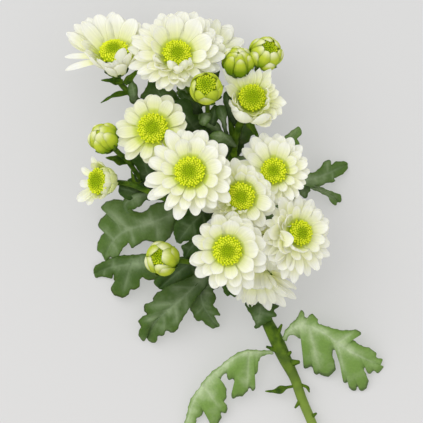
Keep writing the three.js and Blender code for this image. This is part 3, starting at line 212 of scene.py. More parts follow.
# The thick side branch that carries head 04 and two buds.
TRUNK = [(5.25, 13.25, 14), (9, 24, 18.5), (11.6, 36, 24), (13.5, 42, 27)]
TRUNK_RADII = (1.8, 1.5)

# Side branches: the radius, and the points that each passes on its way to its head or bud.
BRANCHES = {
    "01": (1.4, [(-3.25, 38.25, 17), (-25.75, 48.25, 22), (-39, 57.5, 29)]),
    "02": (1.7, [(-4.25, 43.25, 19), (-10.5, 60, 28)]),
    "03": (1.3, [(-7, 50.75, 22), (0, 65.75, 24)]),
    "04": (1.9, [(10.25, 28.25, 20), (13.5, 42, 27), (18, 50, 34)]),
    "05": (1.3, [(0, 28, 15.5), (-14, 34, 24), (-25.5, 38.5, 34)]),
    "06": (1.5, [(4, 14, 14), (-4, 16, 28)]),
    "07": (1.4, [(10.25, -4.25, 12), (13.5, 3, 26)]),
    "08": (1.4, [(7.5, 3.25, 13), (19, 9, 21), (30, 16.5, 31)]),
    "09": (1.4, [(16.5, -26, 10), (10.5, -20.5, 26)]),
    "10": (1.4, [(19.25, -33, 9.3), (31.75, -24.25, 18), (38.5, -14.5, 31)]),
    "11": (1.4, [(20.5, -37.5, 8.8), (21.5, -31.5, 13)]),
    "12": (1.3, [(16, -24, 10.2), (27, -13.5, 20)]),
    "13": (1.4, [(8.5, 0.5, 12.6), (-10, 1, 22), (-26, 7.5, 31), (-40, 13.5, 36)]),
    "bud_01": (1.5, [(11, 33, 22.5), (9.8, 45, 27), (10, 60, 32)]),
    "bud_02": (1.4, [(12.6, 40, 26), (20, 56, 29), (23.6, 69, 31)]),
    "bud_03": (1.2, [(-3.25, 38.25, 17), (-2, 47.5, 30), (-2, 55, 44)]),
    "bud_04": (1.3, [(5.5, 9, 13.4), (-12, 7, 17), (-27, 9, 21), (-35, 16, 25), (-43, 26.5, 31)]),
    "bud_05": (1.3, [(13.25, -16.75, 11), (-3, -25.25, 14), (-18.25, -25.25, 24)]),
}

# Stubs on the stem: root, tip and radius at the root.
STUBS = [
    ((37.5, -76.6, 5.6), (44.4, -75.8, 7.4), 2.6),
    ((35.5, -71, 6), (27.6, -68, 8), 1.8),
    ((32.5, -63, 6.5), (35.4, -56.8, 8.6), 1.7),
    ((36.4, -74, 6), (40, -70.6, 8.6), 2),
    ((45.5, -94.5, 4.6), (42, -99, 5.6), 1.5),
    ((49.5, -104, 4), (52.9, -101.6, 6.4), 1.5),
]

# Bracts: thin blades on the stem. Half-widths run evenly from the root to the tip.
BRACTS = [
    dict(spine=[(43, -87.8, 5), (38, -88.6, 6.8), (32.6, -90.4, 5.8), (26.9, -90.6, 3.2)],
         half=[0.7, 0.7, 1.8, 0.9]),
    dict(spine=[(43.6, -86.8, 5), (48.25, -88.6, 7), (49.4, -91.2, 5)], half=[0.9, 0.8, 0.8]),
    dict(spine=[(-40.2, 59.8, 30.4), (-48.3, 58.5, 33), (-55.7, 54.4, 33)], half=[1, 1.4, 0.8]),
    dict(spine=[(-44.4, 65, 35), (-49, 65.6, 37.5), (-55.4, 65.8, 38.5)], half=[1.2, 2, 1]),
    dict(spine=[(-43.6, 64, 35), (-39.6, 68, 37.5), (-35.6, 72, 39)], half=[1.4, 1.9, 0.9]),
    dict(spine=[(19.2, 51, 36), (22.6, 44.2, 36), (26.4, 44.6, 37)], half=[0.9, 1.1, 0.8]),
    dict(spine=[(17, 47.6, 31), (22.4, 39, 32), (24.2, 35.8, 32)], half=[0.9, 2.1, 1]),
    dict(spine=[(11.6, 34, 24), (11.6, 27, 34), (15.2, 20.8, 46)], half=[0.9, 1.4, 0.9]),
    dict(spine=[(-33.4, 14.6, 24.6), (-38.2, 13.6, 32), (-40.4, 20.8, 33)], half=[1.1, 1.7, 0.9]),
    dict(spine=[(-41.8, 24.6, 30), (-48, 26.4, 32), (-53.2, 27, 32)], half=[1, 2.6, 1.4]),
]


def leaf(name, spine, pale=0, fall=(8, 8), veins=((), ()), both=None, **edges):
    """A leaf's shape, with what most leaves have in common. `both` gives its two edges at once."""
    if both:
        edges.update(left=both, right=both)
    return dict(edges, name=name, spine=spine, pale=pale, fall=fall, veins=veins)


# Leaves: points along the midrib, and the two edges, right and left as one looks from the leaf's
# root to its tip. `right_edge` and `left_edge` say where an edge runs: a place on the midrib in
# percent, and where the blade reaches from there. `veins` are the places at which side veins leave
# the midrib, right and left. Simpler leaves have half-widths at places of the midrib in `right` and
# `left`, and `slant` turns their side veins towards the tip, in degrees at the root and at the tip.
# `fall` lowers each edge, in degrees, `pale` is the share of the paler, thinner green of the low
# leaves, and on some upper leaves a painted highlight that makes the whole leaf look lit, and
# `joins` names the leaf that a further lobe belongs to.
LEAVES = [
    leaf("leaf_lower_right", pale=1, fall=(30, 8), veins=((30, 56), (13, 24, 57)),
        spine=[(36.4, -64.8, 7.4), (38.9, -60.4, 11), (44.8, -57.2, 15), (51.5, -58.4, 18),
        (58.3, -62.4, 17), (67.8, -69.2, 13), (76.5, -73.9, 8), (85.2, -77.5, 3)],
        right_edge=[(0, 37.5, -65.4), (5, 38.9, -62.8), (8, 40.5, -62), (12, 45.1, -64.2),
        (14, 46.9, -64.8), (17, 48, -67.5), (19, 47.3, -72.3), (21, 46.4, -75.3), (22.5, 46.5, -78.4),
        (23.5, 47.9, -79.1), (25.5, 50.5, -78), (27, 51.5, -80.6), (28.5, 53, -82.4), (30, 54.4, -81.6),
        (31, 55.8, -82.6), (32.5, 58, -83.2), (34.5, 60.2, -82.3), (36.5, 62.3, -79.7), (37.5, 62.4, -77.8),
        (40, 61.1, -73.4), (43, 60.8, -70.6), (45, 61.6, -69.6), (46, 62.6, -70.2), (49, 64.9, -75.7),
        (51, 65.5, -79.2), (52.5, 67.1, -81.8), (53.5, 66.2, -83.6), (54.5, 66.3, -85.2),
        (55.5, 67.5, -86.4), (56.5, 68.9, -86), (58, 69.7, -89), (59, 71.1, -90.3), (60, 72.5, -90.1),
        (61, 73.6, -88.2), (62, 74.7, -89.7), (63, 76.1, -90.5), (65, 78.1, -88.7), (67, 79, -85.7),
        (70, 78.2, -82.9), (73, 77, -80.6), (76, 76.9, -78.9), (78, 77.8, -78.1), (80, 78.5, -81.2),
        (82.5, 80, -81.5), (85, 81.8, -80.3), (88, 83.5, -81.3), (91, 85, -80.7), (95, 86.5, -78.5)],
        left_edge=[(0, 35.6, -64.2), (5, 37.1, -60), (10, 39, -57.8), (14, 41.2, -55.2), (16, 42.9, -53.9),
        (18, 44.3, -50.7), (19, 45.2, -49.8), (20, 46.6, -50.9), (22, 46.9, -53), (24, 47.9, -53.7),
        (26, 49.3, -52), (28, 50.8, -51.7), (32, 53.1, -54), (34, 53.8, -56.3), (38, 56.9, -57.4),
        (46, 63.5, -59.4), (52, 67.5, -59.8), (57, 73.1, -59.7), (60, 75.3, -61.1), (63, 73.7, -62.7),
        (66, 70.4, -63.3), (75, 75.3, -67.5), (82, 79.3, -68.7), (88, 82.7, -71.2), (92, 83.2, -73.5),
        (96, 86.1, -74.7)]),
    leaf("leaf_lower_left", pale=1, fall=(24, 22), veins=((), (19, 56, 86)),
        spine=[(31.2, -70.7, 7.2), (24.2, -70.9, 13), (18.8, -70.8, 16), (13.4, -72.5, 16.6),
        (7.6, -76.5, 15), (1.5, -81.3, 13), (-3.8, -87.1, 10), (-7.6, -92.6, 8), (-9.9, -98.2, 6),
        (-12.1, -104.7, 4), (-14.6, -111.8, 2), (-16.9, -119.1, 1)],
        right_edge=[(0, 31.2, -69.9), (9, 24.2, -69.9), (16, 18.8, -69.5), (24, 13.1, -71.1),
        (29, 9.5, -73.5), (33, 7, -75.3), (40, 3.7, -78.3), (43, 1.2, -79.8), (50, -2.4, -83.5),
        (54, -4.6, -86), (58, -6, -88.6), (62, -8.3, -91.4), (66, -10.2, -94.2), (70, -11.2, -96.7),
        (76, -12.2, -101.3), (83, -13.6, -106.5), (92, -16.1, -112.8), (98, -18.1, -118.4)],
        left_edge=[(0, 31.2, -71.7), (6, 26.8, -72.3), (8, 24.6, -73.6), (9.5, 24, -74.8),
        (11, 22.5, -77.3), (12, 23.3, -80), (13, 22.8, -81.5), (14, 20.8, -82.9), (14.8, 20.9, -84.6),
        (15.7, 21.9, -87.4), (16.3, 22.1, -89.1), (17, 21, -90.2), (18, 19.1, -88.9), (19, 17.7, -90.8),
        (20, 15.7, -92.8), (21, 13.8, -93.2), (22, 11.9, -93.6), (22.6, 10.9, -94.4), (23.5, 10, -93.2),
        (26, 11.4, -88.5), (28, 11.5, -85.4), (29.5, 10.7, -84.3), (31, 8.8, -84.6), (33, 7.9, -83.5),
        (35, 7.5, -81.2), (37, 6.3, -81.9), (40, 4.4, -84.2), (43, 3.9, -85.8), (44.5, 6, -86.6),
        (46, 7.3, -89.2), (50, 7.2, -94.3), (51.5, 6.3, -95.7), (53, 7.7, -98), (54, 8.1, -99.4),
        (55, 7.3, -101.3), (56.5, 4.8, -101.4), (58, 4.9, -103.6), (60, 3.7, -106.3), (61.5, 2.2, -108.6),
        (62.8, 0.4, -108.7), (64, -0.4, -106.3), (65.5, -1.9, -104.1), (68, -2.6, -100.8),
        (70, -3.4, -100.1), (73, -5.8, -103.5), (75, -7.5, -104.2), (78, -7.9, -106.3), (84, -8.7, -110.7),
        (90, -11.1, -113.8), (96, -14.6, -117.8)]),
    leaf("leaf_bottom", pale=0.2, fall=(12, 10), veins=((42, 60, 74), (50, 62, 74)),
        spine=[(9.7, -19.7, 13.6), (2, -26.2, 18), (-5, -34.2, 19.5), (-10.6, -39.7, 18.4),
        (-16.4, -45.1, 15), (-23, -50.5, 11), (-28.8, -56.1, 7), (-32.8, -63.8, 2)],
        right_edge=[(0, 9.1, -18.9), (16, 1, -25.2), (28, -6, -30.7), (36, -14.1, -34.2),
        (42, -22.1, -37.4), (47, -25.9, -40.2), (49, -27.7, -41.1), (52, -29.4, -43.6), (54, -29.1, -44.7),
        (57, -31.5, -46), (60, -33.9, -47.2), (63, -33.8, -49.8), (66, -32.6, -51.8), (69, -35.1, -53.2),
        (72, -36.7, -55), (75, -36.3, -56.6), (78, -35.4, -58.5), (81, -36.4, -59.6), (86, -36.6, -62.2),
        (92, -34.7, -65.3)],
        left_edge=[(0, 10.3, -20.5), (16, 3.6, -27.8), (30, -1.6, -36.2), (42, -7.6, -43.7),
        (49, -11.2, -48.8), (54, -13.5, -52.3), (59, -15.9, -56.2), (64, -17.4, -59.5), (67, -19.1, -61),
        (72, -22.8, -60.1), (76, -24.5, -62.6), (81, -27.2, -62.6), (85, -27.3, -64.8), (93, -30, -66.2)]),
    leaf("leaf_bottom_lobe", joins="leaf_bottom", pale=0.15, fall=(6, 8), veins=((62,), (42, 70)),
        spine=[(2, -26.2, 17.6), (-3.6, -33.7, 18.4), (-5.4, -40.2, 16.4), (-3.9, -47.6, 12.4),
        (-0.9, -52.6, 9), (3.2, -58.3, 4)],
        right_edge=[(0, 0.6, -27.2), (20, -7.6, -35.2), (35, -10.1, -41.2), (50, -11, -48.2),
        (57, -9.5, -51.1), (63, -8.6, -53.3), (69, -7.3, -55.1), (74, -5, -54.9), (80, -3.6, -56.1),
        (86, -1.7, -57.7), (93, 0.6, -58.8)],
        left_edge=[(0, 3.6, -26.7), (22, 2, -33.2), (30, 4.4, -37.3), (38, 0.9, -39.8), (46, 2.4, -43.5),
        (54, 0.9, -46.9), (62, 3, -49.5), (66, 4.3, -52), (72, 1.5, -52.5), (82, 3, -55.3), (95, 4, -57.9)]),
    leaf("leaf_fill_low", joins="leaf_bottom", veins=((50,), (50,)),
        spine=[(7, -15.6, 11.6), (-4, -21.6, 15), (-13, -27.6, 15.4), (-20, -33, 14), (-26.6, -38.6, 11)],
        right_edge=[(0, 6.4, -14.8), (20, -3.4, -17), (36, -9, -19.4), (50, -14.8, -23.6), (62, -19.4, -28),
        (72, -23.4, -30.4), (82, -27, -33), (90, -28.8, -34.6), (96, -28.4, -37)],
        left_edge=[(0, 7.6, -16.6), (30, -2, -27), (50, -8, -33), (70, -15, -37), (88, -22, -40)]),
    leaf("leaf_left_upper", pale=0.35, fall=(5, 10), veins=((50, 70, 84), (46, 68, 86)),
        spine=[(3, 2.4, 15.6), (-12.1, 2, 22), (-20.1, -1.5, 24), (-28.2, -4.8, 21), (-36.2, -7.4, 15),
        (-44.5, -10.5, 9), (-50.7, -16.3, 4), (-54.1, -24.1, 1)],
        right_edge=[(0, 3, 3.2), (20, -10.1, 3.6), (30, -17.1, 4.8), (36, -22.8, 5), (42, -27.8, 4.2),
        (47, -30.4, 3), (52, -33.2, 0.2), (56, -36.2, -0.4), (59, -39.2, 0.4), (62, -42.3, 3.6),
        (64.5, -46.3, 6), (67, -50.7, 5.6), (69, -53.7, 4.3), (71, -55.4, 2.2), (73, -54.6, 0.4),
        (76, -50.9, 0.4), (78.5, -53.3, -1.4), (82, -56.1, -4.4), (84.5, -57.2, -7), (86.5, -55.1, -8.9),
        (88.5, -52.5, -9.1), (91, -55, -11.6), (93.5, -56.7, -14.5), (95.5, -57.7, -18), (97, -57.1, -20.1),
        (98.5, -55.3, -21.1)],
        left_edge=[(0, 3, 1.6), (20, -10.1, 0), (30, -17.1, -6), (36, -21.1, -13.1), (44, -25.8, -16.3),
        (50, -29.3, -15.5), (55, -32.1, -14.6), (60, -34.8, -15.2), (66, -37.6, -17.1), (70, -40.1, -18.2),
        (73.5, -41.9, -15.8), (77, -43.3, -17.4), (81, -44.9, -18.8), (87, -46.7, -22.4),
        (91, -48.9, -24.4), (94, -50.9, -23.1), (97.5, -52.9, -25.4)]),
    leaf("leaf_left_lower", pale=0.15, fall=(6, 10), veins=((66, 86), (55, 73, 92)),
        spine=[(9.7, -12.5, 11.4), (-11.8, -24.7, 14), (-23.4, -25.4, 13), (-33.5, -25.9, 10),
        (-43.5, -26.9, 6), (-52.1, -28.6, 3), (-59.3, -31.2, 1)],
        right_edge=[(0, 9.1, -11.6), (34, -12.1, -22.7), (50, -24.2, -21.3), (60, -31.1, -20.9),
        (66, -34.8, -21.4), (74, -40.3, -21.9), (82, -46.7, -22.3), (87, -50.3, -23.5), (91, -54.1, -25.1),
        (95, -57.9, -27), (98, -59.5, -29.2)],
        left_edge=[(0, 10.1, -13.5), (34, -11.1, -27), (45, -20.1, -30.2), (53, -26.2, -33.6),
        (56, -29, -34.4), (60, -33.2, -34.1), (62, -34.8, -33), (64.5, -36.4, -34.7), (66.5, -36.4, -37.6),
        (68, -38.3, -39.3), (69.5, -40.5, -39.2), (71, -42.2, -42), (72.5, -44.3, -43.3), (75, -48.9, -42),
        (76.5, -50.7, -39.6), (78, -50.2, -37.9), (80, -48.4, -35.6), (82, -49.1, -34.2),
        (85, -49.4, -31.8), (87.5, -50.3, -33.6), (89.5, -52.2, -33.5), (92, -54.4, -32.8),
        (96, -58.4, -33.2)]),
    leaf("leaf_right", pale=0.3, fall=(4, 4), veins=((84,), (80,)),
        spine=[(14.6, 5.2, 14.8), (34.2, 10.1, 19), (44.8, 15.1, 13.5), (52.3, 16.9, 10), (58.4, 19.1, 7),
        (63.9, 21.7, 4), (68.8, 24.2, 1.5)],
        right_edge=[(0, 15.1, 4.4), (40, 36.2, 9.1), (50, 42.3, 11.1), (58, 46.3, 11.5), (66, 50.9, 11.9),
        (71, 54.6, 12.6), (76, 57.2, 14.1), (80, 60.4, 14.7), (82.5, 62.4, 15.4), (84.5, 61.2, 16.7),
        (87, 63.4, 17.4), (92, 66, 18.9), (96.5, 68.3, 21.2)],
        left_edge=[(0, 14.1, 6), (40, 34.2, 12.5), (50, 42.3, 16.5), (56, 45.8, 18.3), (62, 48.3, 19.1),
        (68, 52.1, 20), (73, 54.6, 22), (77, 56.5, 24.6), (80, 58.2, 25.9), (82.5, 59.8, 25.8),
        (84, 60.2, 23.6), (87, 62.2, 24.9), (92, 64.8, 25.3), (96, 67.8, 25)]),
    leaf("leaf_right_lobe", joins="leaf_right", pale=0.35, fall=(4, 4),
        spine=[(43.3, 14.1, 13.4), (50.3, 12.5, 10), (56.4, 10.1, 7), (60.9, 7.4, 4), (64.4, 4.6, 2)],
        right_edge=[(0, 43.3, 12.9), (30, 50.3, 11.3), (52, 55.8, 9), (66, 59, 7), (76, 60.2, 4.6),
        (86, 61.8, 3.3), (92, 62.9, 3.5), (96, 63.3, 4.5)],
        left_edge=[(0, 43.3, 15.3), (30, 51.4, 13.7), (50, 57.4, 11.3), (66, 61.5, 9.7), (77, 64, 8.9),
        (86, 65.3, 7.7), (94, 65.5, 5.5)]),
    leaf("leaf_right_foot", joins="leaf_right", pale=0.1, fall=(4, 4),
        spine=[(42, 14, 13), (45, 11.6, 11.6), (47, 9, 10), (47.4, 6.8, 9)],
        right_edge=[(0, 41.4, 13.4), (40, 43, 10.4), (70, 44.6, 8.4), (90, 46.4, 7)],
        left_edge=[(0, 42.8, 14.8), (40, 49, 12.4), (60, 49.6, 10.6), (80, 48.6, 9), (90, 48.4, 7.6)]),
    leaf("leaf_upper_right", pale=0.5, fall=(6, 6), veins=((73,), (84,)),
        spine=[(9.8, 26, 20), (20, 28, 30), (30, 31, 33), (37, 34.5, 33.6), (41.5, 38.4, 34),
        (44.6, 41.8, 34)],
        right_edge=[(0, 10, 25.2), (36, 22, 27), (50, 30, 29), (62, 37, 30.6), (70, 42, 31.4),
        (73, 43.3, 31.9), (76, 44.2, 34), (79, 43.2, 35.5), (81, 42.9, 36.3), (88, 44.7, 38.3),
        (93, 45.2, 40.2)],
        left_edge=[(0, 9.4, 26.8), (36, 20, 29.2), (60, 33.4, 34.4), (74, 37, 37.8), (82, 39.3, 39.7),
        (90, 41.8, 41.6), (96, 43.6, 42.4)]),
    leaf("leaf_below_stem_top", fall=(10, 10), veins=((70,), (66,)),
        spine=[(15.4, -21.6, 11.4), (13, -28, 16), (11, -35, 19), (9.6, -42, 20)],
        right_edge=[(0, 14.6, -21.4), (40, 9, -29), (60, 5.4, -33), (74, 4.8, -36.8), (82, 5.8, -39),
        (88, 6.8, -41.4), (94, 8.2, -42.6), (98, 9.2, -41.6)],
        left_edge=[(0, 16.2, -22), (40, 16.8, -29), (60, 17, -34), (76, 15.6, -37.6), (86, 14.6, -39.6),
        (94, 11.9, -42.8)]),
    leaf("leaf_under_head_11", pale=0.1, fall=(6, 6), veins=((43,), (42, 62)),
        spine=[(20.4, -37.6, 9), (23.6, -42, 13), (24.6, -48, 14.4), (23.6, -54, 12.6), (22.4, -59.2, 9)],
        right_edge=[(0, 19.4, -38), (22, 19.6, -42.4), (36, 17.8, -45.6), (42, 16.8, -46.8),
        (47, 17.5, -48.2), (66, 20.1, -52.4), (84, 22, -56.6), (92, 21.6, -58)],
        left_edge=[(0, 21.6, -37.4), (26, 28.6, -43.6), (36, 31.6, -46.4), (42, 34.2, -47.5),
        (47, 32.3, -48.8), (53, 31.5, -50.1), (58, 32.4, -51.4), (64, 32.4, -52.9), (70, 30.5, -53.3),
        (76, 30.4, -54.5), (86, 27, -56.2), (95, 24.4, -58)]),
    leaf("leaf_inner_a", slant=(20, 30),
        spine=[(-2.6, 41.4, 21.6), (-7.75, 49.75, 27), (-11.75, 54.75, 30), (-16, 60.4, 31)],
        right=[(0, 0.9), (30, 3), (50, 4.6), (70, 3), (88, 2.6)],
        left=[(0, 0.9), (30, 3.4), (46, 5.8), (60, 3.4), (88, 2.4)]),
    leaf("leaf_inner_b", pale=0.25, slant=(16, 30),
        spine=[(8.8, 33.6, 24), (4.6, 40, 29), (-1, 45, 32), (-6.4, 48.8, 33)],
        right=[(0, 0.9), (30, 1), (60, 2.8), (86, 2.6)], left=[(0, 0.9), (30, 1.2), (60, 3.2), (86, 2.8)]),
    leaf("leaf_inner_c", slant=(16, 30),
        spine=[(8.4, 27.6, 20.4), (3, 35.6, 23), (-2.6, 39.6, 25.4), (-7, 40.8, 26)],
        right=[(0, 0.9), (30, 3), (60, 4), (86, 2.4)], left=[(0, 0.9), (30, 2.6), (60, 4), (86, 2.4)]),
    leaf("leaf_inner_d", pale=0.4, slant=(16, 36),
        spine=[(12.4, 32.4, 26.6), (8.4, 36, 33), (4, 38, 36), (-0.6, 38.6, 37)],
        right=[(0, 0.9), (40, 2.4), (70, 2.6), (90, 1.6)],
        left=[(0, 0.9), (34, 3), (60, 4.6), (80, 4.4), (92, 2)]),
    leaf("leaf_under_head_01", pale=0.2, fall=(14, 14), slant=(16, 30),
        spine=[(-34.6, 54, 29), (-38.4, 55.6, 33), (-39.2, 60, 35), (-40.4, 66, 36)],
        right=[(0, 0.9), (40, 2.6), (70, 2.6), (90, 1.6)], left=[(0, 0.9), (40, 2.6), (70, 2.4), (90, 1.6)]),
    leaf("leaf_between_heads", veins=((60,), (60,)),
        spine=[(-14, 43.4, 18.8), (-20, 50, 26), (-25.4, 58, 29), (-29.4, 64.6, 29.6)],
        right_edge=[(0, -13, 42.8), (30, -13, 50), (46, -14.6, 54.6), (56, -17.4, 58.6), (64, -19.6, 61.4),
        (76, -24.6, 61.8), (86, -27.2, 64.4), (94, -28, 67)],
        left_edge=[(0, -15, 44), (30, -23, 49.6), (50, -28.6, 54.6), (64, -34, 56.4), (74, -35.8, 57.4),
        (84, -32.8, 62), (94, -31, 66.4)]),
    leaf("leaf_behind_head_02", spine=[(-0.6, 63.2, 25), (0.8, 66, 29.4), (1.6, 69, 31.6), (3.4, 72.4, 33)],
        right_edge=[(0, 0.4, 62.6), (50, 3.4, 66.4), (80, 4, 70.4)],
        left_edge=[(0, -1.6, 63.6), (50, -0.4, 69), (80, -0.6, 71.4)]),
    leaf("leaf_fill_top", joins="leaf_inner_a", veins=((50,), (50,)),
        spine=[(-1.6, 34.6, 17), (-6, 39, 24), (-10.6, 44.4, 28), (-14.4, 50, 30), (-17, 56, 30.4)],
        right_edge=[(0, -0.6, 34), (26, 0.4, 39), (42, -4, 43.6), (56, -5.6, 48), (66, -9, 49),
        (80, -9.6, 54), (92, -13, 57)],
        left_edge=[(0, -2.6, 35), (30, -11.6, 38), (50, -17, 42), (70, -19.6, 48), (90, -20, 55)]),
    leaf("leaf_fill_middle", joins="leaf_inner_c", veins=((50,), (50,)),
        spine=[(5, 22, 15.4), (6, 27, 20), (4.6, 31, 24), (1, 34.6, 26), (-4, 38.6, 27)],
        right_edge=[(0, 6, 21.6), (30, 11, 28), (50, 10, 32.6), (64, 6, 34), (76, 4.4, 38), (90, -0.6, 39)],
        left_edge=[(0, 4, 22.4), (30, 0.6, 27), (50, -3.6, 30), (70, -6.4, 33.6), (90, -8, 37)]),
    leaf("leaf_fill_hanging", joins="leaf_inner_c", pale=0.4, fall=(14, 4),
        spine=[(-0.6, 51, 33), (-2.4, 48.4, 37), (-3.8, 45.6, 37), (-4.6, 43, 35)],
        right_edge=[(0, -1, 51), (30, -5, 48.6), (60, -6, 45.4), (85, -5.6, 43.6)],
        left_edge=[(0, -0.2, 51), (30, 0.2, 48), (60, -1.2, 45), (85, -3.2, 43.2)]),
    leaf("leaf_fill_side", joins="leaf_inner_c", fall=(10, 10),
        spine=[(0.6, 37.6, 25), (0.2, 42, 30), (1, 47, 34), (2.4, 53, 36)],
        right_edge=[(0, 1.4, 37.6), (30, 1.8, 42), (55, 3, 46), (80, 4.6, 50.6), (94, 3.6, 53)],
        left_edge=[(0, -0.4, 37.6), (30, -2.4, 41), (55, -2.4, 46), (80, -0.6, 51), (94, 1.4, 53.4)]),
    leaf("leaf_fill_step", joins="leaf_inner_d", pale=0.15, fall=(4, 14),
        spine=[(9.6, 35, 25), (7.2, 40, 30), (6.2, 45, 34), (4.8, 50, 36), (3.8, 53.4, 36.6)],
        right_edge=[(0, 10.4, 35.4), (30, 8, 40.4), (50, 7.4, 45.6), (75, 7.6, 50), (92, 6, 53.2)],
        left_edge=[(0, 8.8, 34.6), (30, 6.2, 40), (48, 4.8, 44.8), (70, 2.4, 48.4), (92, 2.4, 52.4)]),
    leaf("leaf_fill_band", joins="leaf_inner_d",
        spine=[(12.4, 43, 28), (10.4, 48, 31), (8.6, 54, 33), (7, 60, 34)],
        right_edge=[(0, 14, 43.4), (35, 12.6, 48.6), (70, 10, 55), (92, 8, 60)],
        left_edge=[(0, 11.4, 42.8), (30, 8.6, 46.6), (60, 7, 51), (90, 5.8, 58)]),
    leaf("leaf_fill_stalks", joins="leaf_inner_d", veins=((40,), (50,)),
        spine=[(10.8, 26, 17.5), (12, 33, 21), (14.6, 40, 26), (17.6, 46.6, 32)],
        right_edge=[(0, 13, 27), (20, 16.2, 31.4), (35, 16.6, 34), (46, 19, 35), (56, 19.6, 37.8),
        (66, 21.8, 38.8), (80, 21.8, 42), (92, 20.4, 46)],
        left_edge=[(0, 8.6, 26.4), (35, 9.4, 33), (70, 12.2, 41), (90, 15.6, 47)]),
    leaf("leaf_fill_left", joins="leaf_left_spiked", veins=((50,), (50,)),
        spine=[(-25.4, 9.4, 20), (-29.5, 14, 26), (-32, 19, 28), (-33.4, 24, 28.6), (-31, 31, 28)],
        right_edge=[(0, -24.4, 9), (30, -24.6, 15.6), (60, -25.4, 22), (85, -25, 29.6)],
        left_edge=[(0, -26.4, 9.8), (25, -33, 11), (38, -34.8, 14.6), (50, -36.2, 19.4), (58, -37.8, 22.4),
        (68, -41.4, 25.4), (78, -38.4, 27.4), (90, -34, 31)]),
    leaf("leaf_fill_stalk", joins="leaf_left_spiked", veins=((), (40,)),
        spine=[(-30.4, 6.4, 26), (-36, 8.6, 30), (-41, 10.4, 32), (-46.6, 11.4, 33)],
        right_edge=[(0, -30.4, 7.6), (35, -36, 11.6), (60, -40.6, 14.2), (88, -45.6, 13.6)],
        left_edge=[(0, -30.6, 5.6), (30, -36.6, 6.2), (55, -41, 5.6), (75, -44, 7), (90, -46.2, 8.8)]),
    leaf("leaf_left_spiked",
        spine=[(-28.2, 9.4, 24), (-32.6, 11, 27), (-36.6, 13.4, 29), (-39.4, 18.8, 30)],
        right_edge=[(0, -28, 10.6), (30, -33, 15), (56, -37, 16.4), (80, -38.4, 18.2)],
        left_edge=[(0, -28.2, 8.4), (30, -34, 9), (56, -40.6, 12.4), (72, -42.4, 15.2), (86, -40.2, 17)]),
    leaf("leaf_centre_dark", slant=(16, 30),
        spine=[(5.4, -2.4, 15), (-1, 0.6, 23), (-8, -4.4, 27), (-13, -10, 27), (-17.6, -15.6, 26)],
        right=[(0, 1), (30, 3), (50, 7), (70, 7.6), (88, 4.4)],
        left=[(0, 1), (30, 4), (44, 7.6), (54, 5.4), (64, 8), (76, 5), (90, 3)]),
    leaf("leaf_left_curled", pale=0.2, fall=(20, 6), slant=(10, 14),
        spine=[(-21.4, 5.6, 26), (-29, 8, 30), (-37.6, 7.4, 32), (-43.4, 3.4, 30), (-42.4, -1, 28)],
        right=[(0, 0.9), (40, 1.6), (62, 2), (80, 2.2)],
        left=[(0, 0.9), (40, 2.4), (58, 5.6), (76, 4.2), (90, 2.6)]),
    leaf("leaf_centre_low", slant=(16, 30),
        spine=[(11.4, -14, 13), (1, -9, 19), (-5.4, -13.4, 20), (-10, -18, 19), (-14, -23.4, 17)],
        right=[(0, 0.9), (40, 2.4), (56, 3), (66, 5.4), (74, 3), (84, 4.6), (92, 2)],
        left=[(0, 0.9), (40, 3), (60, 5), (80, 4), (92, 2.4)]),
    leaf("leaf_rest_left", pale=0.2, fall=(0, 0), slant=(20, 40),
        spine=[(2.2, 18.8, 13), (-6, 18, 5), (-14, 17, 0), (-25, 15.4, 0), (-36, 14, 0)],
        both=[(0, 1), (30, 3), (44, 8), (54, 6), (64, 9.4), (74, 6), (84, 7.4), (93, 4)]),
    leaf("leaf_rest_right", pale=0.2, fall=(0, 0), slant=(20, 40),
        spine=[(14.6, -10, 10.6), (19.6, -6.6, 4), (25, -3, 0), (34, 2.4, 0), (43, 6, 0)],
        both=[(0, 1), (30, 3), (44, 7.4), (54, 5), (64, 8.6), (74, 5), (84, 6.4), (93, 3.4)]),
    leaf("leaf_rest_top", pale=0.2, fall=(0, 0), slant=(20, 40),
        spine=[(-5, 46.8, 18), (-8.4, 54, 8), (-11, 61, 0), (-15, 71, 0), (-20, 82, 0)],
        both=[(0, 1), (30, 3), (46, 7.4), (56, 5), (66, 8.6), (76, 5), (86, 6.4), (94, 3.4)]),
]

# ---------- numbers and directions

UP = np.array([0.0, 0.0, 1.0])
TURN = 2 * math.pi
GOLDEN_ANGLE = math.radians(137.508)
STEPS_PER_KNOT = 48  # of a smooth path, before it is evened out


def jitter(group, items):
    """Repeatable numbers between -1 and 1: twice the fraction of a large sine wave, less one."""
    wave = np.sin(group * 12.9898 + np.asarray(items) * 78.233) * 43758.5453
    return (wave - np.floor(wave)) * 2 - 1


def smooth_step(low, high, values):
    """A rise from 0 at `low` to 1 at `high`: three times the square less twice the cube."""
    share = np.clip((values - low) / (high - low), 0, 1)
    return share * share * (3 - 2 * share)


def unit(vectors):
    """Vectors divided by their own length."""
    return vectors / np.linalg.norm(vectors, axis=-1, keepdims=True)


def column(values):
    """One value per blade, or one for all of them, spread over the two directions of its grid."""
    return np.atleast_1d(np.asarray(values, float))[:, None, None]


def turned(angle, first, second):
    """Directions at an angle: its cosine times the first direction plus its sine times the second."""
    return np.cos(angle)[..., None] * first + np.sin(angle)[..., None] * second


def ring_angles(count):
    """Evenly spread angles round a ring."""
    return np.arange(count) / count * TURN


def head_axes(head):
    """A head's place, its axis, and two directions across it, each at a right angle to the rest."""
    lean_x, lean_y = head["lean"]
    axis = np.array([lean_x, lean_y, math.sqrt(1 - lean_x**2 - lean_y**2)])
    right = unit(np.array([1.0, 0, 0]) - axis[0] * axis)
    return np.array(head["at"], float), axis, right, np.cross(axis, right)


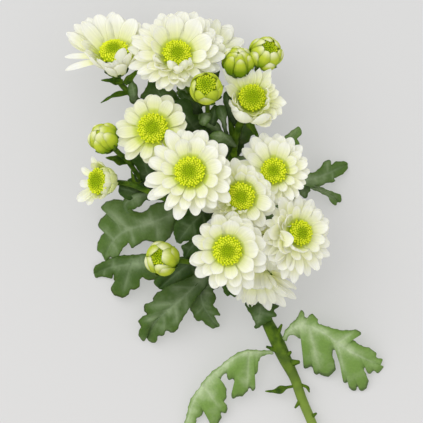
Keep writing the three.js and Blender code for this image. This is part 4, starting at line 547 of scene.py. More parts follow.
def smooth_path(points, count):
    """Points evenly spaced along a centripetal Catmull-Rom curve.

    Between two knots the curve is a cubic whose end slopes come from the neighbouring chords, each
    weighted by the square root of its length. A fine run of it is measured, then read off evenly.
    """
    knots = np.array(points, float)
    knots = np.concatenate([[2 * knots[0] - knots[1]], knots, [2 * knots[-1] - knots[-2]]])
    steps = np.sqrt(np.linalg.norm(np.diff(knots, axis=0), axis=1))[:, None]
    a, b, c, d = knots[:-3], knots[1:-2], knots[2:-1], knots[3:]
    ab, bc, cd = steps[:-2], steps[1:-1], steps[2:]
    slope_b = ((b - a) / ab - (c - a) / (ab + bc) + (c - b) / bc) * bc
    slope_c = ((c - b) / bc - (d - b) / (bc + cd) + (d - c) / cd) * bc
    share = np.linspace(0, 1, STEPS_PER_KNOT, endpoint=False)[None, :, None]
    b, c, slope_b, slope_c = b[:, None], c[:, None], slope_b[:, None], slope_c[:, None]
    cubic = b + slope_b * share + (3 * (c - b) - 2 * slope_b - slope_c) * share**2
    cubic = cubic + (2 * (b - c) + slope_b + slope_c) * share**3
    fine = np.concatenate([cubic.reshape(-1, 3), knots[-2:-1]])
    run = np.concatenate([[0], np.cumsum(np.linalg.norm(np.diff(fine, axis=0), axis=1))])
    wanted = np.linspace(0, run[-1], count)
    return np.stack([np.interp(wanted, run, fine[:, axis]) for axis in range(3)], axis=-1)


def tangents(path):
    """Directions along a path, from the points before and after each of its points."""
    return unit(np.gradient(path, axis=0))


# ---------- meshes from grids


def ring_quads(count, rows, ring):
    """Quads along `count` tubes, each of `rows` rings of `ring` points."""
    tube, row, side = np.meshgrid(np.arange(count), np.arange(rows - 1), np.arange(ring), indexing="ij")
    start = (tube * rows + row) * ring
    here = start + side
    beside = start + (side + 1) % ring
    return np.stack([here, beside, beside + ring, here + ring], axis=-1).reshape(-1, 4)


def blades(top, bottom, **values):
    """Closed thin blades, one for each grid (count, rows, across, 3) in `top`.

    A ring of points runs across the top and back across the bottom, which share the two edges.
    Both ends are closed by faces from the top to the bottom.
    """
    count, rows, across = top.shape[:3]
    ring = 2 * across - 2

    def around(upper, lower):
        return np.concatenate([upper, lower[:, :, -2:0:-1]], axis=2)

    step = np.arange(1, across - 2)
    end_quads = np.stack([step, ring - step, ring - step - 1, step + 1], axis=-1)
    end_triangles = np.array([[0, ring - 1, 1], [across - 2, across, across - 1]])
    root = np.arange(count)[:, None, None] * rows * ring
    tip = root + (rows - 1) * ring
    quads = [ring_quads(count, rows, ring)]
    quads += [(root + end_quads).reshape(-1, 4), (tip + end_quads[:, ::-1]).reshape(-1, 4)]
    triangles = [(root + end_triangles).reshape(-1, 3), (tip + end_triangles[:, ::-1]).reshape(-1, 3)]
    flat = {}
    for name, value in values.items():
        spread = np.broadcast_to(value, top.shape[:3])
        flat[name] = around(spread, spread).ravel()
    flat["under"] = around(np.zeros(top.shape[:3]), np.ones(top.shape[:3])).ravel()
    points = around(top, bottom).reshape(-1, 3)
    return points, np.concatenate(quads), np.concatenate(triangles), flat


def tubes(rings, first, last, **values):
    """Closed round bodies from rings (count, rows, ring, 3), closed onto a pole at each end."""
    count, rows, ring = rings.shape[:3]
    points = np.concatenate([rings.reshape(-1, 3), first, last])
    side = np.arange(ring)
    root = (np.arange(count) * rows * ring)[:, None]
    tip = root + (rows - 1) * ring
    pole = count * rows * ring + np.arange(count)[:, None] + np.zeros_like(side)
    beside = (side + 1) % ring
    start = np.stack([pole, root + beside, root + side], axis=-1).reshape(-1, 3)
    end = np.stack([pole + count, tip + side, tip + beside], axis=-1).reshape(-1, 3)
    flat = {}
    for name, value in values.items():
        spread = np.broadcast_to(value, rings.shape[:3])
        flat[name] = np.concatenate([spread.ravel(), spread[:, 0, 0], spread[:, -1, 0]])
    flat["under"] = np.zeros(len(points))
    return points, ring_quads(count, rows, ring), np.concatenate([start, end]), flat


def outward(points, quads, triangles):
    """The same faces, all turned over where the volume that they close in comes out negative."""
    a, b, c, d = (points[quads[:, corner]] for corner in range(4))
    volume = np.einsum("ij,ij->", a, np.cross(b, c)) + np.einsum("ij,ij->", a, np.cross(c, d))
    e, f, g = (points[triangles[:, corner]] for corner in range(3))
    volume += np.einsum("ij,ij->", e, np.cross(f, g))
    return (quads, triangles) if volume > 0 else (quads[:, ::-1], triangles[:, ::-1])


def build_piece(name, parts, material, slot, *nodes):
    """A smooth object from parts in the sheet's millimetres, which stands for the named nodes."""
    points, quads, triangles, values = [], [], [], {}
    offset = 0
    for part_points, part_quads, part_triangles, part_values in parts:
        part_quads, part_triangles = outward(part_points, part_quads, part_triangles)
        points.append(part_points)
        quads.append(part_quads + offset)
        triangles.append(part_triangles + offset)
        offset += len(part_points)
        for key, value in part_values.items():
            values.setdefault(key, []).append(value)
    points = (np.concatenate(points) + SHEET_TO_ORIGIN) * MM
    quads = np.concatenate(quads)
    triangles = np.concatenate(triangles)
    mesh = bpy.data.meshes.new(name)
    mesh.vertices.add(len(points))
    mesh.vertices.foreach_set("co", points.astype(np.float32).ravel())
    corners = np.concatenate([quads.ravel(), triangles.ravel()]).astype(np.int32)
    mesh.loops.add(len(corners))
    mesh.loops.foreach_set("vertex_index", corners)
    quad_starts = np.arange(len(quads)) * 4
    triangle_starts = len(quads) * 4 + np.arange(len(triangles)) * 3
    mesh.polygons.add(len(quads) + len(triangles))
    mesh.polygons.foreach_set("loop_start", np.concatenate([quad_starts, triangle_starts]).astype(np.int32))
    mesh.update(calc_edges=True)
    for key, value in values.items():
        attribute = mesh.attributes.new(key, "FLOAT", "POINT")
        attribute.data.foreach_set("value", np.concatenate(value).astype(np.float32))
    mesh.shade_smooth()
    mesh.materials.append(material)
    piece = bpy.data.objects.new(name, mesh)
    bpy.context.scene.collection.objects.link(piece)
    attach(piece, BODY)
    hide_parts(*nodes)


# ---------- petals

# Where a petal's rows of points lie: shares of its length, and shares of its half-width.
SHARES = np.array([0, 0.14, 0.29, 0.44, 0.58, 0.7, 0.8, 0.88, 0.94, 0.975, 0.994])
HALF_SIDES = np.array([0.22, 0.44, 0.66, 0.86, 1.0])
SIDES = np.concatenate([-HALF_SIDES[::-1], [0], HALF_SIDES])
SCALE_SHARES = np.array([0, 0.3, 0.6, 0.82, 0.94, 0.994])
SCALE_SIDES = np.array([-1, -0.5, 0, 0.5, 1.0])
WIDEST = 0.58  # share of the length at which a petal is widest
CLAW = 0.74  # its width at the root, as a share of the widest
ROOT_INSIDE = 1.6  # petals start this far inside the disc's rim
FAN = 0.5  # how much flatter the petals lie where they fan out
CURLED = 60  # petals whose tips stand at least this steeply are neither flattened nor pressed down
CLEARLY_HIGHER = 2.0  # a head this much above another presses its petals down
OVERHANG = 4.6  # a higher head's petals hang this far below the plane of its disc
OVERHANG_RISE = 0.12  # and rise by this much for each millimetre out
STEEPEST_PRESS = -28.0
SHINGLE = 4.0  # degrees by which each petal is rolled over the next
STRAY = 3.5  # degrees by which a petal strays from its even place in the row
GROOVE_SIDE = 0.4  # where a petal's two grooves run, as a share of its half-width
GROOVE_WIDTH = 0.16
GROOVE_DEPTH = 0.09  # in millimetres
RIPPLE = 0.25  # in millimetres


def toward(azimuth, degrees, power=1.5):
    """1 for what points in a direction, falling to 0 at right angles to it."""
    return np.clip(np.cos(azimuth - math.radians(degrees)), 0, 1) ** power


def petal_outline(share, blunt):
    """Half-width as a share of the widest: a smooth rise from the claw, then an arc to the tip.

    The arc is one less the square of the way from the widest place, to the power `blunt`: a half
    gives a round tip and more gives a sharper one.
    """
    rise = CLAW + (1 - CLAW) * smooth_step(-0.05, WIDEST, share)
    way = np.clip((share - WIDEST) / (1 - WIDEST), 0, 1)
    return rise * (1 - way**2) ** blunt


def pressed_angles(head, roots, tips, wanted):
    """Tip angles in degrees, lowered where a higher head overhangs the petal's tip."""
    angles = np.array(wanted, float)
    for other in HEADS:
        if other["at"][2] <= head["at"][2] + CLEARLY_HIGHER:
            continue
        away = tips[:, :2] - np.array(other["at"][:2])
        beyond = np.maximum(np.linalg.norm(away, axis=1) - other["disc"], 0)
        lean = np.array(other["lean"])
        up = math.sqrt(1 - lean @ lean)
        ceiling = other["at"][2] - away @ lean / up - OVERHANG + OVERHANG_RISE * beyond
        flat = np.linalg.norm(tips[:, :2] - roots[:, :2], axis=1)
        limit = np.degrees(np.arctan2(ceiling - roots[:, 2], flat))
        covered = beyond <= other["petal"]
        angles = np.where(covered, np.minimum(angles, np.maximum(limit, STEEPEST_PRESS)), angles)
    return angles


def petal_row(head, seed, row_index, row):
    """The petals of one row: arrays with a value for each, from the row's rule and its jitter."""
    origin, axis, right, ahead = head_axes(head)
    count = round(row["count"] * head.get("crowd", 1))
    index = np.arange(count)
    turn = (index + 0.5 * (row_index % 2)) / count * 360 + head["turn"]
    bare_from, bare_to = head.get("without", (0, 0))
    kept = (turn % 360 <= bare_from) | (turn % 360 >= bare_to)
    item = row_index * 20 + index[kept]
    azimuth = np.radians(turn[kept] + STRAY * jitter(seed, item))
    fan = toward(azimuth, head["fan"], 1.0)
    lift_to, lift_tip, lift_root = head.get("lift", (0, 0, 0))
    lift = toward(azimuth, lift_to)
    stretch_to, stretch_by = head.get("stretch", (0, 0))
    share = row["length"] * (1 + 0.12 * jitter(seed, item + 100)) + 0.6 * (1 - row["length"]) * fan
    length = head["petal"] * share * (1 + stretch_by * toward(azimuth, stretch_to, 2.0))
    radius = head["disc"] + row["lip"]
    out = turned(azimuth, right, ahead)
    roots = origin + radius * out - row["drop"] * axis
    tips = roots + length[:, None] * out
    spread = row["tip"] * (1 - FAN * fan * (row["tip"] < CURLED))
    tip = spread + lift_tip * lift + (7 - 4 * fan) * jitter(seed, item + 200)
    tip = np.where(tip < CURLED, pressed_angles(head, roots, tips, tip), tip)
    room = TURN * (radius + 0.45 * length) / count
    return dict(
        azimuth=azimuth,
        length=length,
        radius=radius,
        height=-row["drop"] + 0.12 * jitter(seed, item + 350),
        root=np.radians(np.minimum(row["root"] + lift_root * lift, tip - 1)),
        tip=np.radians(tip),
        width=row["width"] * room * (1 + 0.08 * jitter(seed, item + 300) + 0.34 * fan),
        roll=np.radians(SHINGLE + (6 - 4 * fan) * jitter(seed, item + 400)),
        cup=row["cup"] * (1 + 0.4 * jitter(seed, item + 500)) * (1 - 0.6 * fan),
        sway=0.05 * jitter(seed, item + 600),
        curl=(0.8 * jitter(seed, item + 700) + 0.2) * (1 - 0.6 * fan),
        blunt=0.5 + 0.16 * jitter(seed, item + 800) ** 2 + row.get("sharp", 0),
        tone=0.5 + 0.5 * jitter(seed, item + 900),
        green=head.get("green", 0),
    )


def extra_petals(head, seed):
    """The head's petals that stand on their own, as arrays like those of a row."""
    usual = USUAL_GREEN_AND_SHARPNESS
    table = [(*petal, *usual[len(petal) - 8:]) for petal in EXTRA_PETALS[head["name"]]]
    petals = dict(zip(PETAL_COLUMNS, np.array(table, float).T))
    for name in ("azimuth", "root", "tip"):
        petals[name] = np.radians(petals[name])
    index = np.arange(len(table))
    return dict(
        petals,
        roll=np.radians(9 * jitter(seed, index)),
        sway=0.08 * jitter(seed, index + 50),
        curl=0.6 * jitter(seed, index + 70),
        tone=0.5 + 0.5 * jitter(seed, index + 90),
    )


def petal_blades(head, petals, thickness, shares=SHARES, sides=SIDES):
    """Petals as thin blades.

    The middle line is an arc whose slope turns evenly from the root angle to the tip angle. Across,
    the blade is a trough that rises with the square of the distance from the middle, with two
    shallow grooves, and its end curls with the square of the way past the widest place.
    """
    origin, axis, right, ahead = head_axes(head)
    petals = {name: column(values) for name, values in petals.items()}
    azimuth, length, radius = petals["azimuth"], petals["length"], petals["radius"]
    root, tip, roll = petals["root"], petals["tip"], petals["roll"]
    inner = (radius - head["disc"] + ROOT_INSIDE) / length
    share = shares[None, :, None] * (1 + inner) - inner
    side = sides[None, None, :]
    bend = np.maximum(tip - root, 0.01)
    angle = root + bend * share
    reach = radius + length * (np.sin(angle) - np.sin(root)) / bend
    above = petals["height"] - length * (np.cos(angle) - np.cos(root)) / bend
    half = petals["width"] / 2 * petal_outline(share, petals["blunt"])
    lateral = side * half + petals["sway"] * length * share**2
    swell = smooth_step(-0.1, 0.5, share)
    grooves = np.exp(-(((np.abs(side) - GROOVE_SIDE) / GROOVE_WIDTH) ** 2)) * swell
    trough = petals["cup"] * half * (side**2 - 0.3) * swell
    curl = petals["curl"] * (np.maximum(share - WIDEST, 0) / (1 - WIDEST)) ** 2
    ripple = RIPPLE * np.sin(3.1 * side + 9 * petals["tone"]) * share**2
    rise = trough + curl + ripple - GROOVE_DEPTH * grooves + side * half * np.sin(roll)
    out = turned(azimuth, right, ahead)
    normal = turned(angle, axis, -out)
    top = origin + reach[..., None] * out + above[..., None] * axis
    top = top + (lateral * np.cos(roll))[..., None] * turned(azimuth, ahead, -right)
    top = top + rise[..., None] * normal
    body = thickness * np.sqrt(1 - 0.85 * side**2) * (1.1 - 0.5 * share)
    bottom = top - body[..., None] * normal
    along = share * (1 - petals["green"])
    return blades(top, bottom, along=along, across=side, tone=petals["tone"])


# ---------- disc florets

DOME_SHARES = np.array([0, 0.2, 0.4, 0.58, 0.74, 0.87, 0.97, 1.0])
DOME_HEIGHTS = np.array([0.84, 0.93, 1.0, 0.95, 0.82, 0.64, 0.42, 0.0])
DISC_HEIGHT = 2.9 / 7  # height of the dome as a share of its radius
FLORETS_PER_AREA = 2.9  # florets for each square of the radius in millimetres
FLORET_SIDES = 10
DOME_SIDES = 28
DOME_SUNK = 0.02  # the dome lies this share of the radius below the florets' feet


def dome(head, fade):
    """The disc's own dome: a profile turned round the axis, closed at the top and underneath."""
    origin, axis, right, ahead = head_axes(head)
    size = head["disc"]
    shares = DOME_SHARES[:0:-1]
    heights = DOME_HEIGHTS[:0:-1] * DISC_HEIGHT - DOME_SUNK
    out = turned(ring_angles(DOME_SIDES), right, ahead)
    rings = origin + (shares * 0.98 * size)[:, None, None] * out
    rings = rings + (heights * size)[:, None, None] * axis
    low = origin - 0.5 * axis
    high = origin + (DOME_HEIGHTS[0] * DISC_HEIGHT - DOME_SUNK) * size * axis
    return tubes(rings[None], low[None], high[None], height=0.0, age=fade)


def florets(head, seed, youngest=0.0, oldest=1.0):
    """Florets on the dome, in the spiral of a sunflower.

    The nth floret stands at the golden angle times n, at the disc's radius times the square root
    of n over their number. Each is a bead whose radius has a faint wave of five periods, and it
    stands taller with its age, from the middle of the disc to the rim.
    """
    origin, axis, right, ahead = head_axes(head)
    size = head["disc"]
    count = int(FLORETS_PER_AREA * size**2)
    number = np.arange(count)
    share = np.sqrt((number + 0.5) / count) * (1 + 0.012 * jitter(seed, number))
    azimuth = number * GOLDEN_ANGLE + seed + 0.06 * jitter(seed, number + 500)
    age = youngest + (oldest - youngest) * share**1.6
    slope = np.gradient(DOME_HEIGHTS, DOME_SHARES)
    rise = np.interp(share, DOME_SHARES, DOME_HEIGHTS) * DISC_HEIGHT * size
    tilt = np.arctan(-np.interp(share, DOME_SHARES, slope) * DISC_HEIGHT) * 0.85
    tilt = tilt + np.radians(9) * jitter(seed, number + 900)
    out = turned(azimuth, right, ahead)
    beside = turned(azimuth, ahead, -right)
    grow = turned(tilt, axis, out)
    flat = turned(tilt, out, -axis)
    foot = origin + (share * 0.955 * size)[:, None] * out + rise[:, None] * axis
    bore = 0.45 + 0.08 * age + 0.04 * jitter(seed, number + 1300)
    tall = 0.3 + 0.6 * age**1.4 * (1 + 0.3 * jitter(seed, number + 1700))
    heights = np.stack([np.full(count, -0.7), 0.5 * tall, tall], axis=1)
    widths = np.array([0.95, 1.05, 0.72])[None] * bore[:, None]
    angle = ring_angles(FLORET_SIDES)
    lobes = 1 + np.array([0, 0.04, 0.14])[None, :, None] * age[:, None, None] * np.cos(5 * angle)
    around = turned(angle, flat[:, None, None], beside[:, None, None])
    rings = foot[:, None, None] + heights[..., None, None] * grow[:, None, None]
    rings = rings + (widths[..., None] * lobes)[..., None] * around
    first = foot - 0.9 * grow
    last = foot + (tall + 0.2 - 0.14 * age)[:, None] * grow
    level = np.array([0.0, 0.6, 1.0])[None, :, None]
    return tubes(rings, first, last, height=level, age=age[:, None, None])


# ---------- buds

MOUTH_WALL = 1.2  # from the disc's rim to the outside of the petals round it
MOUTH_DEPTH = 1.8  # the rim of a bud's disc lies this far below the mouth
CORE_INSIDE = 0.8  # the plain globe inside the petals is this much smaller than the bud
CORE_SIDES = 24
CLOSED_CORE_TOP = 60  # latitude in degrees
CORE_BELOW_MOUTH = 16  # also in degrees

# Rows of a bud's petals and of the green scales under them: how many, their lowest and highest
# latitude in degrees, their width as a share of their room, and how far they stand off the globe.
# In an opening bud, `high` counts from the latitude of its mouth, and it differs by up to `uneven`.
# The lower `ripe` is, the further down a petal is pale, and `palest` is how pale its tip gets.
BUD_ROWS = {
    "closed": [
        dict(count=5, low=-70, high=84, width=1.35, off=-0.5, cup=0.9, ripe=0.8),
        dict(count=6, low=-76, high=58, width=1.02, off=0.1, cup=1.3, ripe=0.8, uneven=11),
    ],
    "bud_02": [
        dict(count=7, low=-76, high=20, width=1.25, off=-0.3, cup=0.9, ripe=0.72, uneven=12),
        dict(count=5, low=-78, high=-12, width=0.9, off=0.2, cup=1.2, ripe=0.8, uneven=12),
    ],
    "bud_03": [
        dict(count=6, low=-76, high=10, width=1.35, off=-0.3, cup=0.4, ripe=0.36, palest=0.88),
        dict(count=5, low=-78, high=-8, width=1.2, off=0.0, cup=0.5, ripe=0.38, palest=0.88),
    ],
    "bud_04": [
        dict(count=4, low=-70, high=80, width=1.35, off=-0.5, cup=0.9, ripe=0.5),
        dict(count=5, low=-76, high=46, width=0.84, off=0.1, cup=1.3, ripe=0.55, uneven=8),
    ],
    "bud_05": [
        dict(count=5, low=-76, high=22, width=1.25, off=-0.3, cup=0.9, ripe=0.55, uneven=12),
        dict(count=4, low=-78, high=-6, width=0.86, off=0.2, cup=1.2, ripe=0.62, uneven=12),
    ],
}
SCALE_ROWS = [
    dict(count=9, low=-80, high=-8, width=0.62, off=0.9, cup=0.4),
    dict(count=8, low=-84, high=-38, width=0.8, off=1.2, cup=0.4),
]


def globe_blades(bud, seed, row_index, row, thickness, blunt=0.55, shares=SHARES, sides=SIDES):
    """Petals pressed on a globe: latitude runs along each petal and longitude across it.

    The radius is the globe's, more in the petal's middle than at its edges, and it grows a little
    from one edge to the other so that each petal overlaps the next.
    """
    origin, axis, right, ahead = head_axes(bud)
    count = row["count"]
    item = row_index * 20 + np.arange(count)
    share = shares[None, :, None]
    side = sides[None, None, :]
    high = row["high"] + row.get("uneven", 4) * jitter(seed, item + 60)
    latitude = np.radians(row["low"] + (column(high) - row["low"]) * share)
    middle = (np.arange(count) + 0.5 * (row_index % 2)) / count * TURN + seed
    middle = middle + 0.07 * jitter(seed, item)
    radius = bud["radius"]
    belly = 0.72 + 0.28 * smooth_step(0, 0.4, share)
    fade = np.clip((share - 0.5) / 0.5, 0, 1)
    half = math.pi * radius / count * row["width"] * belly * (1 - fade**2) ** blunt
    room = radius * np.maximum(np.cos(latitude), 0.05)
    angle = np.clip(side * half / room, -1.15, 1.15)
    longitude = column(middle) + angle
    swell = row["cup"] * (1 - side**2) * np.sin(math.pi * np.clip(share, 0, 1)) ** 0.5
    size = radius + row["off"] - 0.35 + swell + 0.3 * side
    flat = turned(longitude, right, ahead)
    normal = turned(latitude, flat, axis)
    top = origin + size[..., None] * normal
    body = thickness * np.sqrt(1 - 0.85 * side**2)
    bottom = top - body[..., None] * normal
    tone = 0.5 + 0.5 * jitter(seed, item + 40)
    along = row.get("palest", 1.0) * share ** row.get("ripe", 1.0)
    return blades(top, bottom, along=along, across=side, tone=column(tone))


def core(bud):
    """A plain globe inside the petals, so that no gap between them shows through the bud."""
    origin, axis, right, ahead = head_axes(bud)
    top = mouth_latitude(bud) - CORE_BELOW_MOUTH if "disc" in bud else CLOSED_CORE_TOP
    latitude = np.radians(np.linspace(-80, top, 12))
    flat = turned(ring_angles(CORE_SIDES), right, ahead)
    size = bud["radius"] - CORE_INSIDE
    rings = origin + size * turned(latitude[:, None], flat, axis)
    low = origin - size * axis
    high = origin + size * math.sin(latitude[-1]) * axis
    return tubes(rings[None], low[None], high[None], along=0.8, across=0.0, tone=0.5)


def mouth_latitude(bud):
    """Latitude on the globe of an opening bud's mouth, in degrees."""
    return math.degrees(math.acos((bud["disc"] + MOUTH_WALL) / bud["radius"]))


def bud_disc(bud):
    """The disc of an opening bud, as a small head of its own."""
    origin, axis, _, _ = head_axes(bud)
    mouth_height = bud["radius"] * math.sin(math.radians(mouth_latitude(bud)))
    return dict(at=origin + (mouth_height - MOUTH_DEPTH) * axis, lean=bud["lean"], disc=bud["disc"])


# ---------- leaves

EDGE_STEP = 0.6  # between two points along a leaf's edge, in millimetres
FEWEST_ROWS = 28
LEAF_SIDES = np.linspace(-1, 1, 21)
VEIN_WIDTH = 0.7
VEIN_HAZE = 2.3
MIDRIB_WIDTH = 0.6
MIDRIB_HAZE = 3.4
TOOTH_LENGTH = 6.6
TOOTH_HEIGHT = 1.2
FINE_TOOTH_LENGTH = 4.2
FINE_TOOTH = 0.28
MIDRIB_POINTS = 1200
EDGE_POINTS = 900


def rounded(pairs, shares):
    """Half-widths between the pairs: mostly eased, with a flat slope at each, which rounds lobes."""
    places = np.array([percent / 100 for percent, _ in pairs] + [1.0])
    widths = np.array([width for _, width in pairs] + [0.3])
    after = np.clip(np.searchsorted(places, shares, side="right"), 1, len(places) - 1)
    way = (shares - places[after - 1]) / (places[after] - places[after - 1])
    way = 0.3 * way + 0.7 * smooth_step(0, 1, way)
    return widths[after - 1] + (widths[after] - widths[after - 1]) * way


def lobe_places(pairs):
    """Percentages of the midrib at which a side vein leaves for the tip of a lobe."""
    return [
        pairs[index][0] for index in range(1, len(pairs) - 1)
        if pairs[index][1] > pairs[index - 1][1] and pairs[index][1] >= pairs[index + 1][1]
    ]


def toothed_edge(pairs, shares, length, seed):
    """Half-widths along one edge, and how far its rounded teeth shift it out and along.

    The teeth are the size of a sine wave over the length of the edge, at right angles to it. Slower
    waves shift them along the edge and change their height, so that no two are alike.
    """
    width = rounded(pairs, shares)
    steps = np.hypot(np.diff(shares) * length, np.diff(width))
    run = np.concatenate([[0], np.cumsum(steps)])
    size = TOOTH_HEIGHT * smooth_step(0.1, 0.25, shares) * np.minimum(width / 5, 1)
    size = size * (1 + 0.4 * np.sin(run / 4.7 + 3 * seed))
    drift = 1.1 * np.sin(run / 3.3 + seed) + 0.7 * np.sin(run / 7.1 + 2 * seed)
    tooth = size * (np.abs(np.sin(math.pi * (run + drift) / TOOTH_LENGTH + seed)) - 0.45)
    rise = np.gradient(width, run)
    ahead = np.gradient(shares * length, run)
    return width, tooth * ahead, -tooth * rise


def grown_edges(shape, fine, path, seed):
    """Both edges of a simple leaf: out from the midrib at the slant of the side veins."""
    length = np.linalg.norm(np.diff(path, axis=0), axis=1).sum()
    chord = unit((path[-1] - path[0]) * (1, 1, 0))
    along = unit(unit(tangents(path) * (1, 1, 0)) + chord)
    across = np.cross(along, UP)
    slant = np.radians(np.interp(fine, [0, 1], shape["slant"]))
    end = np.sqrt(1 - np.clip((fine - 0.96) / 0.04, 0, 0.999) ** 2)
    edges = []
    for sign, name in ((-1, "left"), (1, "right")):
        width, wider, further = toothed_edge(shape[name], fine, length, seed)
        out = sign * (width * np.cos(slant) + wider) * end
        ahead = (width * np.sin(slant) + further) * end
        edges.append((path + out[:, None] * across + ahead[:, None] * along)[:, :2])
    return edges, [lobe_places(shape["left"]), lobe_places(shape["right"])]


def drawn_edges(shape, fine, path):
    """Both edges of a leaf whose outline is given: a smooth curve through its points.

    Fine teeth stand out from it, as high as the positive half of a sine wave along the edge.
    """
    edges = []
    for sign, name in ((1, "left_edge"), (-1, "right_edge")):
        knots = [(x, y, percent) for percent, x, y in shape[name]]
        curve = smooth_path([*knots, (*path[-1, :2], 100)], EDGE_POINTS)
        way = unit(tangents(curve)[:, :2])
        flow = np.cumsum(np.linalg.norm(np.gradient(curve[:, :2], axis=0), axis=1))
        tooth = FINE_TOOTH * np.maximum(np.sin(TURN * flow / FINE_TOOTH_LENGTH + np.sin(flow / 5)), 0)
        curve[:, :2] += (sign * tooth)[:, None] * way[:, ::-1] * (-1, 1)
        shares = np.maximum.accumulate(curve[:, 2]) / 100 + np.arange(EDGE_POINTS) * 1e-9
        edges.append(np.stack([np.interp(fine, shares, curve[:, axis]) for axis in range(2)], axis=-1))
    return edges, shape["veins"][::-1]


def side_veins(points, right, fine, path, edges, places):
    """Masks of the side veins and of the wider haze round them: bell curves of the way to a vein."""
    veins, haze = np.zeros((2, *points.shape[:2]))
    for is_right in (False, True):
        on_side = right == is_right
        for place in places[is_right]:
            foot, tip = (
                np.array([np.interp(place / 100, fine, line[:, axis]) for axis in range(2)])
                for line in (path, edges[is_right])
            )
            way = unit(tip - foot)
            from_foot = points[..., :2] - foot
            away = from_foot[..., 0] * way[1] - from_foot[..., 1] * way[0]
            veins = np.maximum(veins, np.exp(-((away / VEIN_WIDTH) ** 2)) * on_side)
            haze = np.maximum(haze, 0.6 * np.exp(-((away / VEIN_HAZE) ** 2)) * on_side)
    return veins, haze


def leaf_blade(shape, seed, thickness, waviness=1.0):
    """A lobed leaf as one thin blade.

    Rows run from the midrib to both edges, and lie closer together where an edge runs outwards. The
    blade falls away from the midrib, is sunk along its veins, puffs up between them and waves at its
    edge. It never dips below the table.
    """
    fine = np.linspace(0, 1, MIDRIB_POINTS)
    path = smooth_path(shape["spine"], len(fine))
    if "left" in shape:
        edges, places = grown_edges(shape, fine, path, seed)
    else:
        edges, places = drawn_edges(shape, fine, path)
    pace = np.maximum(*(np.linalg.norm(np.gradient(edge, axis=0), axis=1) for edge in edges))
    pace = np.cumsum(pace) - pace[0]
    rows = max(FEWEST_ROWS, int(pace[-1] / EDGE_STEP))
    share = np.interp(np.linspace(0, pace[-1], rows), pace, fine)

    def at_rows(curve):
        return np.stack([np.interp(share, fine, values) for values in curve.T], axis=-1)

    middle = at_rows(path)
    side = LEAF_SIDES[None, :]
    right = side > 0
    left_out = (at_rows(edges[0]) - middle[:, :2])[:, None]
    right_out = (at_rows(edges[1]) - middle[:, :2])[:, None]
    out = np.where(right[..., None], right_out, left_out)
    half = np.linalg.norm(out, axis=-1) * np.ones_like(side)
    run = np.abs(side) * half
    points = np.repeat(middle[:, None], len(LEAF_SIDES), axis=1)
    points[..., :2] += np.abs(side)[..., None] * out

    # The haze masks mark the grey-green round the veins and the midrib, partly the leaf's own bloom and
    # partly a painted sheen.
    veins, haze = side_veins(points, right, fine, path, edges, places)
    veins = veins * smooth_step(1.0, 0.5, np.abs(side))
    haze = np.maximum(haze, np.exp(-((run / MIDRIB_HAZE) ** 2)) * smooth_step(1.02, 0.7, share)[:, None])
    haze = haze * smooth_step(1.05, 0.45, np.abs(side))
    midrib = np.exp(-((run / MIDRIB_WIDTH) ** 2)) * smooth_step(1.02, 0.8, share)[:, None]

    fall = np.where(right, *(math.tan(math.radians(angle)) for angle in shape["fall"]))
    broad = np.minimum(half / 8, 1)
    puff = 1.5 * (1 - np.maximum(haze, midrib)) * np.sin(math.pi * np.abs(side)) * broad
    flow = share[:, None] * np.linalg.norm(np.diff(path, axis=0), axis=1).sum()
    wave = 1.1 * np.sin(flow / 4.3 + 2.2 * seed + 1.5 * right) * side**2
    wave = wave + 1.2 * np.sin(flow / 9.5 + 1.3 * seed + 2.6 * right) * np.abs(side)
    height = puff + waviness * broad * wave - run * fall - 0.5 * midrib - 0.4 * veins
    resting = max(shape["fall"]) == 0
    height = points[..., 2] + height * (0.3 if resting else 1.0)
    body = thickness * np.sqrt(1 - 0.9 * side**2) + 0.5 * np.exp(-((run / 0.9) ** 2))
    points[..., 2] = np.maximum(height, 0.05 + body)
    bottom = points.copy()
    bottom[..., 2] = points[..., 2] - body
    return blades(
        points[None], bottom[None], along=share[None, :, None], across=side[None],
        vein=np.maximum(veins * 0.7, midrib)[None], haze=haze[None], pale=shape["pale"],
    )


# ---------- stem

CUP_DEPTHS = (9.5, 8.5, 7.4, 6.4, 5.4, 4.4, 3.4)  # green cup, measured down from the disc's rim
CUP_RADII = (1.4, 1.7, 2.7, 3.9, 4.8, 5.5, 5.9)
BUD_CUP_DEPTHS = (6.2, 5.2, 4.0, 2.8, 1.6, 0.6)  # below the globe's lowest petals
BUD_CUP_RADII = (1.3, 1.4, 1.9, 2.8, 3.6, 4.0)
BUD_LOWEST = 58  # latitude of a bud's lowest petals, in degrees below its middle
STALK_STEP = 1.4
TUBE_SIDES = 18
RIDGES = 6
MAIN_RINGS = 190
TRUNK_RINGS = 26
STUB_RINGS = 8
END_RINGS = 200  # of the path that gives the cut face its direction
BRACT_TONE = 0.2
STALK_VALUES = dict(along=0.0, across=0.0, tone=0.3, depth=1.0, pith=0.0)
# Rows of scales against a head's cup: how many, their length, how far below the disc's rim and how
# far from the axis they grow, and their angle at the root in degrees.
CUP_SCALE_ROWS = [(14, 5.2, 7.4, 2.6, 36), (16, 4.8, 5.8, 4.2, 48)]


def path_tube(path, radii, **values):
    """A ribbed tube along a path: rings at right angles to it, whose radius waves six times round."""
    forward = tangents(path)
    bend = np.cross(forward[0], forward[-1])
    if np.linalg.norm(bend) < 0.05:
        bend = np.cross(forward[0], (0.31, 0.2, 0.93))
    across = unit(bend - (forward @ bend)[:, None] * forward)
    beside = np.cross(forward, across)
    angle = ring_angles(TUBE_SIDES)
    around = turned(angle, across[:, None], beside[:, None])
    ribs = 1 + 0.035 * np.cos(RIDGES * angle)
    rings = path[:, None] + (np.asarray(radii)[:, None] * ribs)[..., None] * around
    return tubes(rings[None], path[:1], path[-1:], **values)


